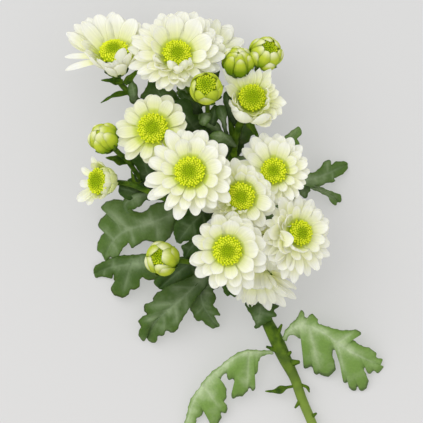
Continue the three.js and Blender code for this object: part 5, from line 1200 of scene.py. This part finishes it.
def stalk(head):
    """A side branch up to its head, where it widens into the cup under the petals."""
    radius, path = BRANCHES[head["name"]]
    origin, axis, _, _ = head_axes(head)
    if "petal" in head:
        depths, widths = np.array(CUP_DEPTHS) + head.get("neck", 0), np.array(CUP_RADII)
    else:
        lowest = head["radius"] * math.sin(math.radians(BUD_LOWEST))
        depths, widths = lowest + np.array(BUD_CUP_DEPTHS), np.array(BUD_CUP_RADII)
    guide = origin - (depths[0] + 4) * axis
    start = origin - depths[0] * axis
    knots = [*path, tuple(guide), tuple(start)]
    length = np.linalg.norm(np.diff(np.array(knots), axis=0), axis=1).sum()
    run = smooth_path(knots, max(8, int(length / STALK_STEP)))
    cup = origin - depths[1:, None] * axis
    points = np.concatenate([run, cup])
    share = np.linspace(0, 1, len(run))
    radii = np.concatenate([radius * (1.12 - 0.12 * smooth_step(0, 0.2, share)), widths[1:]])
    return path_tube(points, radii, **STALK_VALUES)


def on_stem(part):
    """A blade of the stem: it takes the stem's values, and a bract's tone where it has none."""
    points, quads, triangles, values = part
    zeros = np.zeros(len(points))
    kept = {name: values[name] for name in ("along", "across", "under")}
    tone = values.get("tone", zeros + BRACT_TONE)
    return points, quads, triangles, dict(kept, tone=tone, depth=zeros + 1, pith=zeros)


def cup_scales(head, seed, thickness):
    """Two rows of narrow green scales that lie against the cup under a head's petals."""
    parts = []
    for row_index, (count, length, low, radius, root) in enumerate(CUP_SCALE_ROWS):
        index = np.arange(count)
        item = row_index * 30 + index
        scales = dict(
            azimuth=(index + 0.5 * row_index) / count * TURN + 0.06 * jitter(seed, item),
            length=length * (1 + 0.08 * jitter(seed, item + 100)),
            radius=radius,
            height=-low - head.get("neck", 0),
            root=math.radians(root),
            tip=math.radians(58) + 0.08 * jitter(seed, item + 200),
            width=TURN * (radius + 1.8) / count * 1.15,
            tone=0.5 + 0.5 * jitter(seed, item + 300),
            roll=0, cup=0.25, sway=0, curl=0.1, blunt=0.9, green=0,
        )
        narrow = dict(head, disc=radius)
        parts.append(on_stem(petal_blades(narrow, scales, thickness, SCALE_SHARES, SCALE_SIDES)))
    return parts


def bract(shape, seed, thickness):
    """A small blade on the stem, made as a leaf without lobes."""
    count = len(shape["half"])
    pairs = [(100 * index / count, width) for index, width in enumerate(shape["half"])]
    blade = leaf("bract", shape["spine"], both=pairs, slant=(0, 0))
    return on_stem(leaf_blade(blade, seed, thickness, waviness=0.3))


def cut_end():
    """The pale cut face of the stem: a thin plug that stands out of the end by a hair."""
    path = smooth_path(MAIN_STEM, END_RINGS)
    way = unit(path[0] - path[1])
    plug = path[0] + np.array([[-0.5], [0.02], [0.06]]) * way
    return path_tube(plug, [2.1, 2.1, 2.0], **dict(STALK_VALUES, tone=0.5, depth=0.0, pith=1.0))


# ---------- shader groups and materials


def link(tree, node, socket, value):
    """Joins a socket to the node's input, or sets the input to a plain value."""
    if isinstance(value, bpy.types.NodeSocket):
        tree.links.new(value, node.inputs[socket])
    else:
        node.inputs[socket].default_value = value


def attribute(tree, name):
    """A value that the piece's points carry."""
    node = tree.nodes.new("ShaderNodeAttribute")
    node.attribute_name = name
    return node.outputs["Fac"]


def math_node(tree, operation, first, second=0.5):
    """The result of one sum."""
    node = tree.nodes.new("ShaderNodeMath")
    node.operation = operation
    link(tree, node, 0, first)
    link(tree, node, 1, second)
    return node.outputs[0]


def product(tree, first, second):
    """One value times another."""
    return math_node(tree, "MULTIPLY", first, second)


def blend_colour(tree, share, first, second, how="MIX"):
    """A mix of two colours by a share."""
    node = tree.nodes.new("ShaderNodeMix")
    node.data_type = "RGBA"
    node.blend_type = how
    link(tree, node, "Factor", share)
    for socket, value in ((6, first), (7, second)):
        link(tree, node, socket, value if isinstance(value, bpy.types.NodeSocket) else (*value, 1.0))
    return node.outputs[2]


def ramp(tree, share, stops):
    """A colour or a grey that changes along a list of places."""
    node = tree.nodes.new("ShaderNodeValToRGB")
    node.color_ramp.interpolation = "EASE"
    elements = node.color_ramp.elements
    for place, _ in stops[2:]:
        elements.new(place)
    for element, (place, colour) in zip(elements, stops):
        element.position = place
        element.color = [colour] * 3 + [1.0] if isinstance(colour, float) else (*colour, 1.0)
    link(tree, node, "Fac", share)
    return node.outputs["Color"]


def shaded(tree, colour, mask, stops):
    """A colour times the grey that a ramp makes of a mask."""
    return blend_colour(tree, 1.0, colour, ramp(tree, mask, stops), "MULTIPLY")


def place_group(tree, group, **inputs):
    """The mask of a shader group, placed with its own values."""
    node = tree.nodes.new("ShaderNodeGroup")
    node.node_tree = group
    for name, value in inputs.items():
        link(tree, node, name, value)
    return node.outputs["Mask"]


def new_group(name, inputs):
    """An empty shader group with named inputs, which puts out a mask."""
    group = bpy.data.node_groups.new(name, "ShaderNodeTree")
    for label, default in inputs.items():
        socket = group.interface.new_socket(label, in_out="INPUT", socket_type="NodeSocketFloat")
        socket.default_value = default
    group.interface.new_socket("Mask", in_out="OUTPUT", socket_type="NodeSocketFloat")
    return group, group.nodes.new("NodeGroupInput"), group.nodes.new("NodeGroupOutput")


def streaks_group():
    """Fine lines along a blade: noise that changes fast across it and slowly along it."""
    group, given, result = new_group(
        "fine_streaks", {"Along": 0.0, "Across": 0.0, "Tone": 0.0, "Lines": 9.0})
    place = group.nodes.new("ShaderNodeCombineXYZ")
    across = product(group, given.outputs["Across"], given.outputs["Lines"])
    group.links.new(across, place.inputs["X"])
    group.links.new(product(group, given.outputs["Along"], 1.2), place.inputs["Y"])
    group.links.new(product(group, given.outputs["Tone"], 71.0), place.inputs["Z"])
    noise = group.nodes.new("ShaderNodeTexNoise")
    noise.inputs["Scale"].default_value = 0.55
    noise.inputs["Detail"].default_value = 2.0
    group.links.new(place.outputs[0], noise.inputs["Vector"])
    group.links.new(noise.outputs["Fac"], result.inputs["Mask"])
    return group


def mottle_group():
    """Soft blotches of a given size in millimetres, from noise on the object's own coordinates."""
    group, given, result = new_group("soft_mottle", {"Size": 2.0})
    where = group.nodes.new("ShaderNodeTexCoord")
    noise = group.nodes.new("ShaderNodeTexNoise")
    noise.inputs["Detail"].default_value = 3.0
    group.links.new(where.outputs["Object"], noise.inputs["Vector"])
    group.links.new(math_node(group, "DIVIDE", 1000.0, given.outputs["Size"]), noise.inputs["Scale"])
    group.links.new(noise.outputs["Fac"], result.inputs["Mask"])
    return group


def new_material(name, roughness, specular, subsurface=0.0, depth=2.0):
    """A material with a plain shader, and its node tree. Light goes `depth` millimetres into it."""
    material = bpy.data.materials.new(name)
    material.use_nodes = True
    shader = material.node_tree.nodes["Principled BSDF"]
    shader.inputs["Roughness"].default_value = roughness
    shader.inputs["Specular IOR Level"].default_value = specular
    shader.inputs["Subsurface Weight"].default_value = subsurface
    shader.inputs["Subsurface Radius"].default_value = (1.0, 0.95, 0.6)
    shader.inputs["Subsurface Scale"].default_value = depth * MM
    return material, material.node_tree, shader


def add_bump(tree, shader, height, distance, strength=1.0):
    """Fine relief from a mask, `distance` deep in metres."""
    bump = tree.nodes.new("ShaderNodeBump")
    bump.inputs["Strength"].default_value = strength
    bump.inputs["Distance"].default_value = distance
    link(tree, bump, "Height", height)
    link(tree, shader, "Normal", bump.outputs["Normal"])


def petal_material(name, streaks, stops, underside, edges, painted_glow, specular):
    """Petal flesh: its colour runs from the root to the tip, with faint lines along it.

    `edges` is the colour of a petal's edges and the share of it that they take. The glow is painted
    light: the petals give out that share of their own colour, which lifts their shade and stands for
    the light that comes through the thin petals from behind.
    """
    material, tree, shader = new_material(name, 0.6, specular, subsurface=0.5)
    # Painted glow: the petals give out this share of their own colour as light, which brightens their shaded
    # parts.
    shader.inputs["Emission Strength"].default_value = painted_glow
    along = attribute(tree, "along")
    tone = attribute(tree, "tone")
    across = attribute(tree, "across")
    lines = place_group(tree, streaks, Along=along, Across=across, Tone=tone)
    drift = product(tree, math_node(tree, "SUBTRACT", tone, 0.5), 0.12)
    colour = ramp(tree, math_node(tree, "ADD", along, drift), stops)
    edge = math_node(tree, "POWER", math_node(tree, "ABSOLUTE", across), 3.0)
    colour = blend_colour(tree, product(tree, edge, edges[1]), colour, edges[0])
    colour = shaded(tree, colour, lines, [(0.35, 0.93), (0.65, 1.0)])
    back = product(tree, attribute(tree, "under"), 0.35)
    colour = blend_colour(tree, back, colour, underside)
    link(tree, shader, "Base Color", colour)
    link(tree, shader, "Emission Color", colour)
    add_bump(tree, shader, lines, 0.0002, 0.5)
    return material


def disc_material(name, mottle, colours):
    """Florets: green at the foot, yellow-green at the top, darker in the disc's middle, with a painted glow.
    """
    material, tree, shader = new_material(name, 0.6, 0.06, subsurface=0.25, depth=0.8)
    height = attribute(tree, "height")
    age = attribute(tree, "age")
    young = ramp(tree, height, [(0.55, colours.foot), (1.0, colours.middle_lip)])
    old = ramp(tree, height, [(0.1, colours.middle_lip), (0.7, colours.throat), (1.0, colours.outer_lip)])
    spread = ramp(tree, age, [(0.1, 0.0), (0.6, 1.0)])
    colour = blend_colour(tree, spread, young, old)
    colour = shaded(tree, colour, place_group(tree, mottle, Size=1.6), [(0.3, 0.8), (0.7, 1.0)])
    link(tree, shader, "Base Color", colour)
    # Painted glow: the florets give out a share of their own colour as light, which brightens their shaded
    # sides.
    link(tree, shader, "Emission Color", colour)
    shader.inputs["Emission Strength"].default_value = colours.painted_glow
    add_bump(tree, shader, place_group(tree, mottle, Size=0.5), 0.0001, 0.5)
    return material


def stem_material(name, streaks, mottle, colours):
    """Green stem, stalks and scales: paler low down, with lengthwise lines and a pale cut end."""
    material, tree, shader = new_material(name, 0.5, 0.12, subsurface=0.05)
    blotch = place_group(tree, mottle, Size=5.0)
    colour = ramp(tree, blotch, [(0.3, colours.dark), (0.72, colours.light)])
    rise = ramp(tree, attribute(tree, "depth"), [(0.12, 1.0), (0.44, 0.0)])
    colour = blend_colour(tree, rise, colour, colours.low)
    lines = place_group(
        tree, streaks, Along=attribute(tree, "along"), Across=attribute(tree, "across"),
        Tone=attribute(tree, "tone"), Lines=5.0)
    colour = shaded(tree, colour, lines, [(0.35, 0.82), (0.65, 1.0)])
    colour = blend_colour(tree, attribute(tree, "pith"), colour, colours.pith)
    link(tree, shader, "Base Color", colour)
    add_bump(tree, shader, place_group(tree, mottle, Size=0.9), 0.0002, 0.4)
    return material


def leaf_material(name, streaks, mottle, colours):
    """Leaf: grey-green along its veins, partly its own bloom and partly a painted sheen, a stronger
    green between them, painted shade that makes it darker near its root, and darker at its edge.
    """
    material, tree, shader = new_material(name, 0.5, 0.14, subsurface=0.06)
    vein = attribute(tree, "vein")
    pale = attribute(tree, "pale")
    blotch = place_group(tree, mottle, Size=8.0)
    fine = place_group(tree, mottle, Size=1.1)
    lines = place_group(
        tree, streaks, Along=attribute(tree, "across"), Across=attribute(tree, "along"), Lines=30.0)
    # Painted sheen: the grey-green along the veins, brighter in broad blotches, is partly the leaf's own
    # bloom and partly painted light.
    bloom_and_sheen = product(tree, attribute(tree, "haze"), 0.8)
    bloom_and_sheen = product(tree, bloom_and_sheen, ramp(tree, blotch, [(0.3, 0.35), (0.62, 1.0)]))
    bloom_and_sheen = math_node(tree, "ADD", bloom_and_sheen, ramp(tree, blotch, [(0.44, 0.0), (0.68, 0.26)]))
    bloom_and_sheen = product(tree, bloom_and_sheen, ramp(tree, lines, [(0.3, 0.6), (0.65, 1.0)]))
    bloom_and_sheen = product(tree, bloom_and_sheen, ramp(tree, pale, [(0.0, 0.5), (0.2, 1.0)]))
    dark = blend_colour(tree, bloom_and_sheen, colours.dark, colours.grey)
    light = blend_colour(tree, bloom_and_sheen, colours.pale_dark, colours.pale_grey)
    colour = blend_colour(tree, pale, dark, light)
    edge = math_node(tree, "POWER", math_node(tree, "ABSOLUTE", attribute(tree, "across")), 4.0)
    edge = product(tree, edge, ramp(tree, pale, [(0.3, 0.3), (1.0, 0.5)]))
    colour = blend_colour(tree, edge, colour, colours.edge)
    line = blend_colour(tree, pale, colours.vein, colours.pale_vein)
    colour = blend_colour(tree, product(tree, vein, 0.36), colour, line)
    colour = shaded(tree, colour, fine, [(0.3, 0.88), (0.7, 1.0)])
    # Painted shade: a leaf is darker towards its root, where it lies under the heads, and the pale low
    # leaves are spared.
    painted_root_shade = ramp(tree, attribute(tree, "along"), [(0.25, 0.42), (0.72, 1.0)])
    painted_root_shade = blend_colour(tree, pale, painted_root_shade, (1.0, 1.0, 1.0))
    colour = blend_colour(tree, 1.0, colour, painted_root_shade, "MULTIPLY")
    back = product(tree, attribute(tree, "under"), 0.7)
    colour = blend_colour(tree, back, colour, colours.pale_grey)
    link(tree, shader, "Base Color", colour)
    add_bump(tree, shader, fine, 0.00025, 0.5)
    return material


# ---------- settings


def colour_setting(name, description, default):
    """A colour that a user may change."""
    return bpy.props.FloatVectorProperty(
        name=name, description=description, default=default, subtype="COLOR", size=3, min=0, max=1)


def length_setting(name, description, default):
    """A length that a user may change, in metres."""
    return bpy.props.FloatProperty(
        name=name, description=description, default=default, unit="LENGTH", precision=5, min=0)


def share_setting(name, description, default):
    """A share that a user may change."""
    return bpy.props.FloatProperty(
        name=name, description=description, default=default, subtype="FACTOR", min=0)


class PetalSettings(bpy.types.PropertyGroup):
    """Sizes and colours of the white petals and of the petals of the buds."""

    thickness: length_setting("Thickness", "Thickness of a petal in its middle", 0.32 * MM)
    bud_thickness: length_setting("Bud thickness", "Thickness of a bud's petal in its middle", 0.5 * MM)
    # Painted glow: the share of their own colour that the white petals give out as light, which lifts their
    # shade.
    painted_glow: share_setting("Glow", "Light that comes through the white petals", 0.06)
    root: colour_setting("Root", "Colour at the root of a white petal", (0.62, 0.72, 0.08))
    low: colour_setting("Low", "Colour a fifth of the way out", (0.85, 0.88, 0.42))
    middle: colour_setting("Middle", "Colour halfway out", (0.90, 0.91, 0.61))
    tip: colour_setting("Tip", "Colour of the outer part", (0.93, 0.93, 0.80))
    back: colour_setting("Back", "Colour of the underside", (0.90, 0.90, 0.66))
    bud_root: colour_setting("Bud root", "Colour low on a bud's petal", (0.04, 0.10, 0.001))
    bud_low: colour_setting("Bud low", "Colour under the middle of a bud's petal", (0.19, 0.31, 0.005))
    bud_middle: colour_setting("Bud middle", "Colour above the middle", (0.52, 0.62, 0.045))
    bud_tip: colour_setting("Bud tip", "Colour at the tip of a bud's petal", (0.88, 0.90, 0.50))


class DiscSettings(bpy.types.PropertyGroup):
    """Colours of the disc florets."""

    # Painted glow: the share of their own colour that the florets give out as light, which lifts their
    # shade.
    painted_glow: share_setting("Glow", "Light that comes through the florets", 0.08)
    foot: colour_setting("Foot", "Colour between the young florets", (0.15, 0.28, 0.001))
    middle_lip: colour_setting("Middle", "Top of the young florets in the middle", (0.38, 0.52, 0.006))
    throat: colour_setting("Throat", "Side of an open floret", (0.73, 0.82, 0.015))
    outer_lip: colour_setting("Rim", "Top of the open florets at the rim", (0.80, 0.87, 0.045))


class LeafSettings(bpy.types.PropertyGroup):
    """Size and colours of the leaves."""

    thickness: length_setting("Thickness", "Thickness of the blade", 0.34 * MM)
    dark: colour_setting("Dark", "Deep green of an upper leaf", (0.027, 0.072, 0.007))
    # Grey and Low grey are the grey-green round the veins, partly the leaf's own bloom and partly a painted
    # sheen.
    grey: colour_setting("Grey", "Greyer green along its veins", (0.2, 0.28, 0.14))
    pale_dark: colour_setting("Low dark", "Green of a low leaf", (0.195, 0.335, 0.072))
    pale_grey: colour_setting("Low grey", "Greyer green of a low leaf", (0.53, 0.65, 0.38))
    edge: colour_setting("Edge", "Green at the edge", (0.065, 0.15, 0.008))
    vein: colour_setting("Vein", "Colour of the veins", (0.24, 0.33, 0.17))
    pale_vein: colour_setting("Low vein", "Colour of the veins of a low leaf", (0.62, 0.72, 0.48))


class StemSettings(bpy.types.PropertyGroup):
    """Sizes and colours of the stem."""

    scale_thickness: length_setting("Scale thickness", "Thickness of a scale under a head", 0.4 * MM)
    dark: colour_setting("Dark", "Darker green of the upper stem", (0.03, 0.078, 0.003))
    light: colour_setting("Light", "Lighter green of the upper stem", (0.125, 0.22, 0.011))
    low: colour_setting("Low", "Green of the low stem", (0.25, 0.36, 0.062))
    pith: colour_setting("Pith", "Colour of the cut face", (0.62, 0.68, 0.42))


class StageSettings(bpy.types.PropertyGroup):
    """The floor, the lights and the camera."""

    # Near and far floor: a painted fall of light, with the floor a little lighter at the cut end.
    floor_far: colour_setting("Far floor", "Floor past the heads", (0.36, 0.36, 0.36))
    floor_near: colour_setting("Near floor", "Floor at the cut end", (0.385, 0.382, 0.38))
    floor_glow: share_setting("Glow", "Share of the floor's brightness that it gives out itself", 0.335)
    key_power: bpy.props.FloatProperty(
        name="Key", description="Power of the large overhead light", default=24.0, unit="POWER", min=0)
    fill_strength: bpy.props.FloatProperty(
        name="Fill", description="Strength of the even light from all sides", default=0.78, min=0)


SETTINGS = {
    "spray_petals": PetalSettings,
    "spray_discs": DiscSettings,
    "spray_leaves": LeafSettings,
    "spray_stem": StemSettings,
    "spray_stage": StageSettings,
}

# ---------- operators


def shared_group(name, make):
    """A shader group that is made once and then found by its name."""
    return bpy.data.node_groups.get(name) or make()


class SPRAY_OT_stem(bpy.types.Operator):
    """Make the stem with its stalks, green cups, scales, stubs and bracts"""

    bl_idname = "spray.stem"
    bl_label = "Stem"

    def execute(self, context):
        settings = context.scene.spray_stem
        streaks = shared_group("fine_streaks", streaks_group)
        mottle = shared_group("soft_mottle", mottle_group)
        material = stem_material("stem_green", streaks, mottle, settings)
        thickness = settings.scale_thickness / MM
        main = smooth_path(MAIN_STEM, MAIN_RINGS)
        trunk = smooth_path(TRUNK, TRUNK_RINGS)
        run = np.linspace(0, 1, len(main))
        rising = dict(STALK_VALUES, depth=run[None, :, None])
        parts = [
            path_tube(main, np.interp(run, *zip(*STEM_RADII)), **rising),
            path_tube(trunk, np.linspace(*TRUNK_RADII, len(trunk)), **STALK_VALUES),
            cut_end(),
        ]
        parts += [stalk(head) for head in HEADS + BUDS]
        for seed, head in enumerate(HEADS, 1):
            parts += cup_scales(head, seed, thickness)
        for seed, bud in enumerate(BUDS, 31):
            for index, row in enumerate(SCALE_ROWS):
                scales = globe_blades(bud, seed, index, row, thickness, 0.8, SCALE_SHARES, SCALE_SIDES)
                parts.append(on_stem(scales))
        for foot, tip, radius in STUBS:
            taper = np.linspace(1, 0.24, STUB_RINGS) ** 0.8
            parts.append(path_tube(np.linspace(foot, tip, STUB_RINGS), radius * taper, **STALK_VALUES))
        parts += [bract(shape, seed, thickness) for seed, shape in enumerate(BRACTS, 50)]
        build_piece("branching_stem", parts, material, "stem", "stem")
        return {"FINISHED"}


class SPRAY_OT_discs(bpy.types.Operator):
    """Make the domes of florets in the heads and in the opening buds"""

    bl_idname = "spray.discs"
    bl_label = "Discs"

    def execute(self, context):
        settings = context.scene.spray_discs
        mottle = shared_group("soft_mottle", mottle_group)
        material = disc_material("disc_florets", mottle, settings)
        for seed, head in enumerate(HEADS, 1):
            parts = [dome(head, 0.6), florets(head, seed, oldest=head.get("ripe", 1.0))]
            name = head["name"]
            build_piece(f"florets_{name}", parts, material, "disc_florets", f"head_{name}_disc")
        for seed, bud in enumerate(BUDS, 21):
            if "disc" in bud:
                head = bud_disc(bud)
                parts = [dome(head, 0.2), florets(head, seed, 0.1, 0.5)]
                name = bud["name"]
                build_piece(f"florets_{name}", parts, material, "disc_florets", f"{name}_disc")
        return {"FINISHED"}


class SPRAY_OT_petals(bpy.types.Operator):
    """Make the white petals of the heads"""

    bl_idname = "spray.petals"
    bl_label = "Petals"

    def execute(self, context):
        settings = context.scene.spray_petals
        streaks = shared_group("fine_streaks", streaks_group)
        stops = [(0.02, settings.root), (0.22, settings.low),
                 (0.5, settings.middle), (0.85, settings.tip)]
        edges = (settings.tip, 0.15)
        material = petal_material(
            "white_petal", streaks, stops, settings.back, edges, settings.painted_glow, 0.2)
        thickness = settings.thickness / MM
        for seed, head in enumerate(HEADS, 1):
            rows = ROWS[head.get("kind", "open")]
            parts = [
                petal_blades(head, petal_row(head, seed, index, row), thickness)
                for index, row in enumerate(rows)
            ]
            name = head["name"]
            if name in EXTRA_PETALS:
                parts.append(petal_blades(head, extra_petals(head, seed), thickness))
            build_piece(f"petals_{name}", parts, material, "white_petals", f"head_{name}_petals")
        return {"FINISHED"}


class SPRAY_OT_buds(bpy.types.Operator):
    """Make the petals of the buds"""

    bl_idname = "spray.buds"
    bl_label = "Buds"

    def execute(self, context):
        settings = context.scene.spray_petals
        streaks = shared_group("fine_streaks", streaks_group)
        stops = [(0.4, settings.bud_root), (0.62, settings.bud_low),
                 (0.84, settings.bud_middle), (1.0, settings.bud_tip)]
        edges = (settings.bud_low, 0.45)
        # The bud petals give out 0.03 of their own colour as a painted glow.
        material = petal_material("bud_petal", streaks, stops, settings.bud_middle, edges, 0.03, 0.06)
        thickness = settings.bud_thickness / MM
        for seed, bud in enumerate(BUDS, 41):
            rows = BUD_ROWS.get(bud["name"], BUD_ROWS["closed"])
            if "disc" in bud:
                rows = [dict(row, high=row["high"] + mouth_latitude(bud)) for row in rows]
            parts = [core(bud)]
            parts += [globe_blades(bud, seed, index, row, thickness) for index, row in enumerate(rows)]
            build_piece(f"{bud['name']}_wrap", parts, material, "bud_petals", f"{bud['name']}_petals")
        return {"FINISHED"}


class SPRAY_OT_leaves(bpy.types.Operator):
    """Make the lobed leaves"""

    bl_idname = "spray.leaves"
    bl_label = "Leaves"

    def execute(self, context):
        settings = context.scene.spray_leaves
        streaks = shared_group("fine_streaks", streaks_group)
        mottle = shared_group("soft_mottle", mottle_group)
        material = leaf_material("leaf_green", streaks, mottle, settings)
        leaves = {}
        for seed, shape in enumerate(LEAVES, 1):
            part = leaf_blade(shape, seed, settings.thickness / MM)
            leaves.setdefault(shape.get("joins", shape["name"]), []).append(part)
        for name, parts in leaves.items():
            build_piece(name + "_blade", parts, material, "leaf", name)
        return {"FINISHED"}


# The floor's colour runs from near to far: painted light, a little lighter towards the cut end.
FLOOR_HALF = 4.0  # the floor reaches this far to each side
FLOOR_CHANGE = 3.4  # share of the way from near to far colour that one metre makes
FLOOR_MIDDLE = 0.42  # and that share over the frame's origin
KEY_PLACE = (-0.9, 0.9, 1.9)
KEY_SIZE = 2.2
SPRAY_MIDDLE = (0.0, 0.0, 0.03)


class SPRAY_OT_stage(bpy.types.Operator):
    """Set up the pale floor, the soft lights and the camera that looks straight down"""

    bl_idname = "spray.stage"
    bl_label = "Stage"

    def execute(self, context):
        settings = context.scene.spray_stage
        mesh = bpy.data.meshes.new("floor")
        corners = [(x * FLOOR_HALF, y * FLOOR_HALF, 0) for x, y in ((-1, -1), (1, -1), (1, 1), (-1, 1))]
        mesh.from_pydata(corners, [], [(0, 1, 2, 3)])
        material, tree, shader = new_material("pale_floor", 0.9, 0.0)
        where = tree.nodes.new("ShaderNodeTexCoord")
        split = tree.nodes.new("ShaderNodeSeparateXYZ")
        tree.links.new(where.outputs["Object"], split.inputs[0])
        share = math_node(tree, "MULTIPLY_ADD", split.outputs["Y"], FLOOR_CHANGE)
        share.node.inputs[2].default_value = FLOOR_MIDDLE
        colour = blend_colour(tree, ramp(tree, share, [(0.0, 0.0), (1.0, 1.0)]),
                              settings.floor_near, settings.floor_far)
        link(tree, shader, "Base Color", colour)
        link(tree, shader, "Emission Color", (1.0, 1.0, 1.0, 1.0))
        link(tree, shader, "Emission Strength", settings.floor_glow)
        mesh.materials.append(material)
        floor = bpy.data.objects.new("floor", mesh)
        context.scene.collection.objects.link(floor)
        add_light("key_light", KEY_PLACE, KEY_SIZE, settings.key_power)
        world = bpy.data.worlds.new("even_light")
        world.use_nodes = True
        background = world.node_tree.nodes["Background"]
        background.inputs["Color"].default_value = (1.0, 0.99, 0.98, 1.0)
        background.inputs["Strength"].default_value = settings.fill_strength
        context.scene.world = world
        add_camera(context.scene)
        context.scene.view_settings.view_transform = "Standard"
        return {"FINISHED"}


def add_light(name, place, size, power):
    """A square soft light that faces the middle of the spray."""
    data = bpy.data.lights.new(name, "AREA")
    data.size = size
    data.energy = power
    light = bpy.data.objects.new(name, data)
    light.location = place
    gaze = Vector(np.array(SPRAY_MIDDLE) - np.array(place))
    light.rotation_euler = gaze.to_track_quat("-Z", "Y").to_euler()
    bpy.context.scene.collection.objects.link(light)


CAMERA_DISTANCE = 5.875  # over the plane of the heads
HEADS_PLANE = 0.05
CAMERA_LENS = 1000.0


def add_camera(scene):
    """A camera that looks straight down on the sheet's middle, with the heads at the top."""
    data = bpy.data.cameras.new("camera")
    data.sensor_width = 36.0
    data.lens = CAMERA_LENS
    data.clip_end = 20.0
    camera = bpy.data.objects.new("camera", data)
    camera.location = (*(SHEET_TO_ORIGIN[:2] * MM), HEADS_PLANE + CAMERA_DISTANCE)
    scene.collection.objects.link(camera)
    scene.camera = camera


OPERATORS = [
    SPRAY_OT_stage, SPRAY_OT_stem, SPRAY_OT_discs, SPRAY_OT_petals, SPRAY_OT_buds, SPRAY_OT_leaves,
]


class SPRAY_PT_panel(bpy.types.Panel):
    """The spray's operators and settings"""

    bl_label = "Spray chrysanthemum"
    bl_idname = "SPRAY_PT_panel"
    bl_space_type = "VIEW_3D"
    bl_region_type = "UI"
    bl_category = "Spray"

    def draw(self, context):
        for operator in OPERATORS:
            self.layout.operator(operator.bl_idname)
        for name, group in SETTINGS.items():
            box = self.layout.box()
            for setting in group.__annotations__:
                box.prop(getattr(context.scene, name), setting)


def register():
    for group in SETTINGS.values():
        bpy.utils.register_class(group)
    for name, group in SETTINGS.items():
        setattr(bpy.types.Scene, name, bpy.props.PointerProperty(type=group))
    for operator in OPERATORS:
        bpy.utils.register_class(operator)
    bpy.utils.register_class(SPRAY_PT_panel)


def unregister():
    bpy.utils.unregister_class(SPRAY_PT_panel)
    for operator in reversed(OPERATORS):
        bpy.utils.unregister_class(operator)
    for name, group in SETTINGS.items():
        delattr(bpy.types.Scene, name)
        bpy.utils.unregister_class(group)


def main():
    """Make everything in order."""
    register()
    bpy.ops.spray.stage()
    bpy.ops.spray.stem()
    bpy.ops.spray.discs()
    bpy.ops.spray.petals()
    bpy.ops.spray.buds()
    bpy.ops.spray.leaves()
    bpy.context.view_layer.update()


if __name__ == "__main__":
    main()
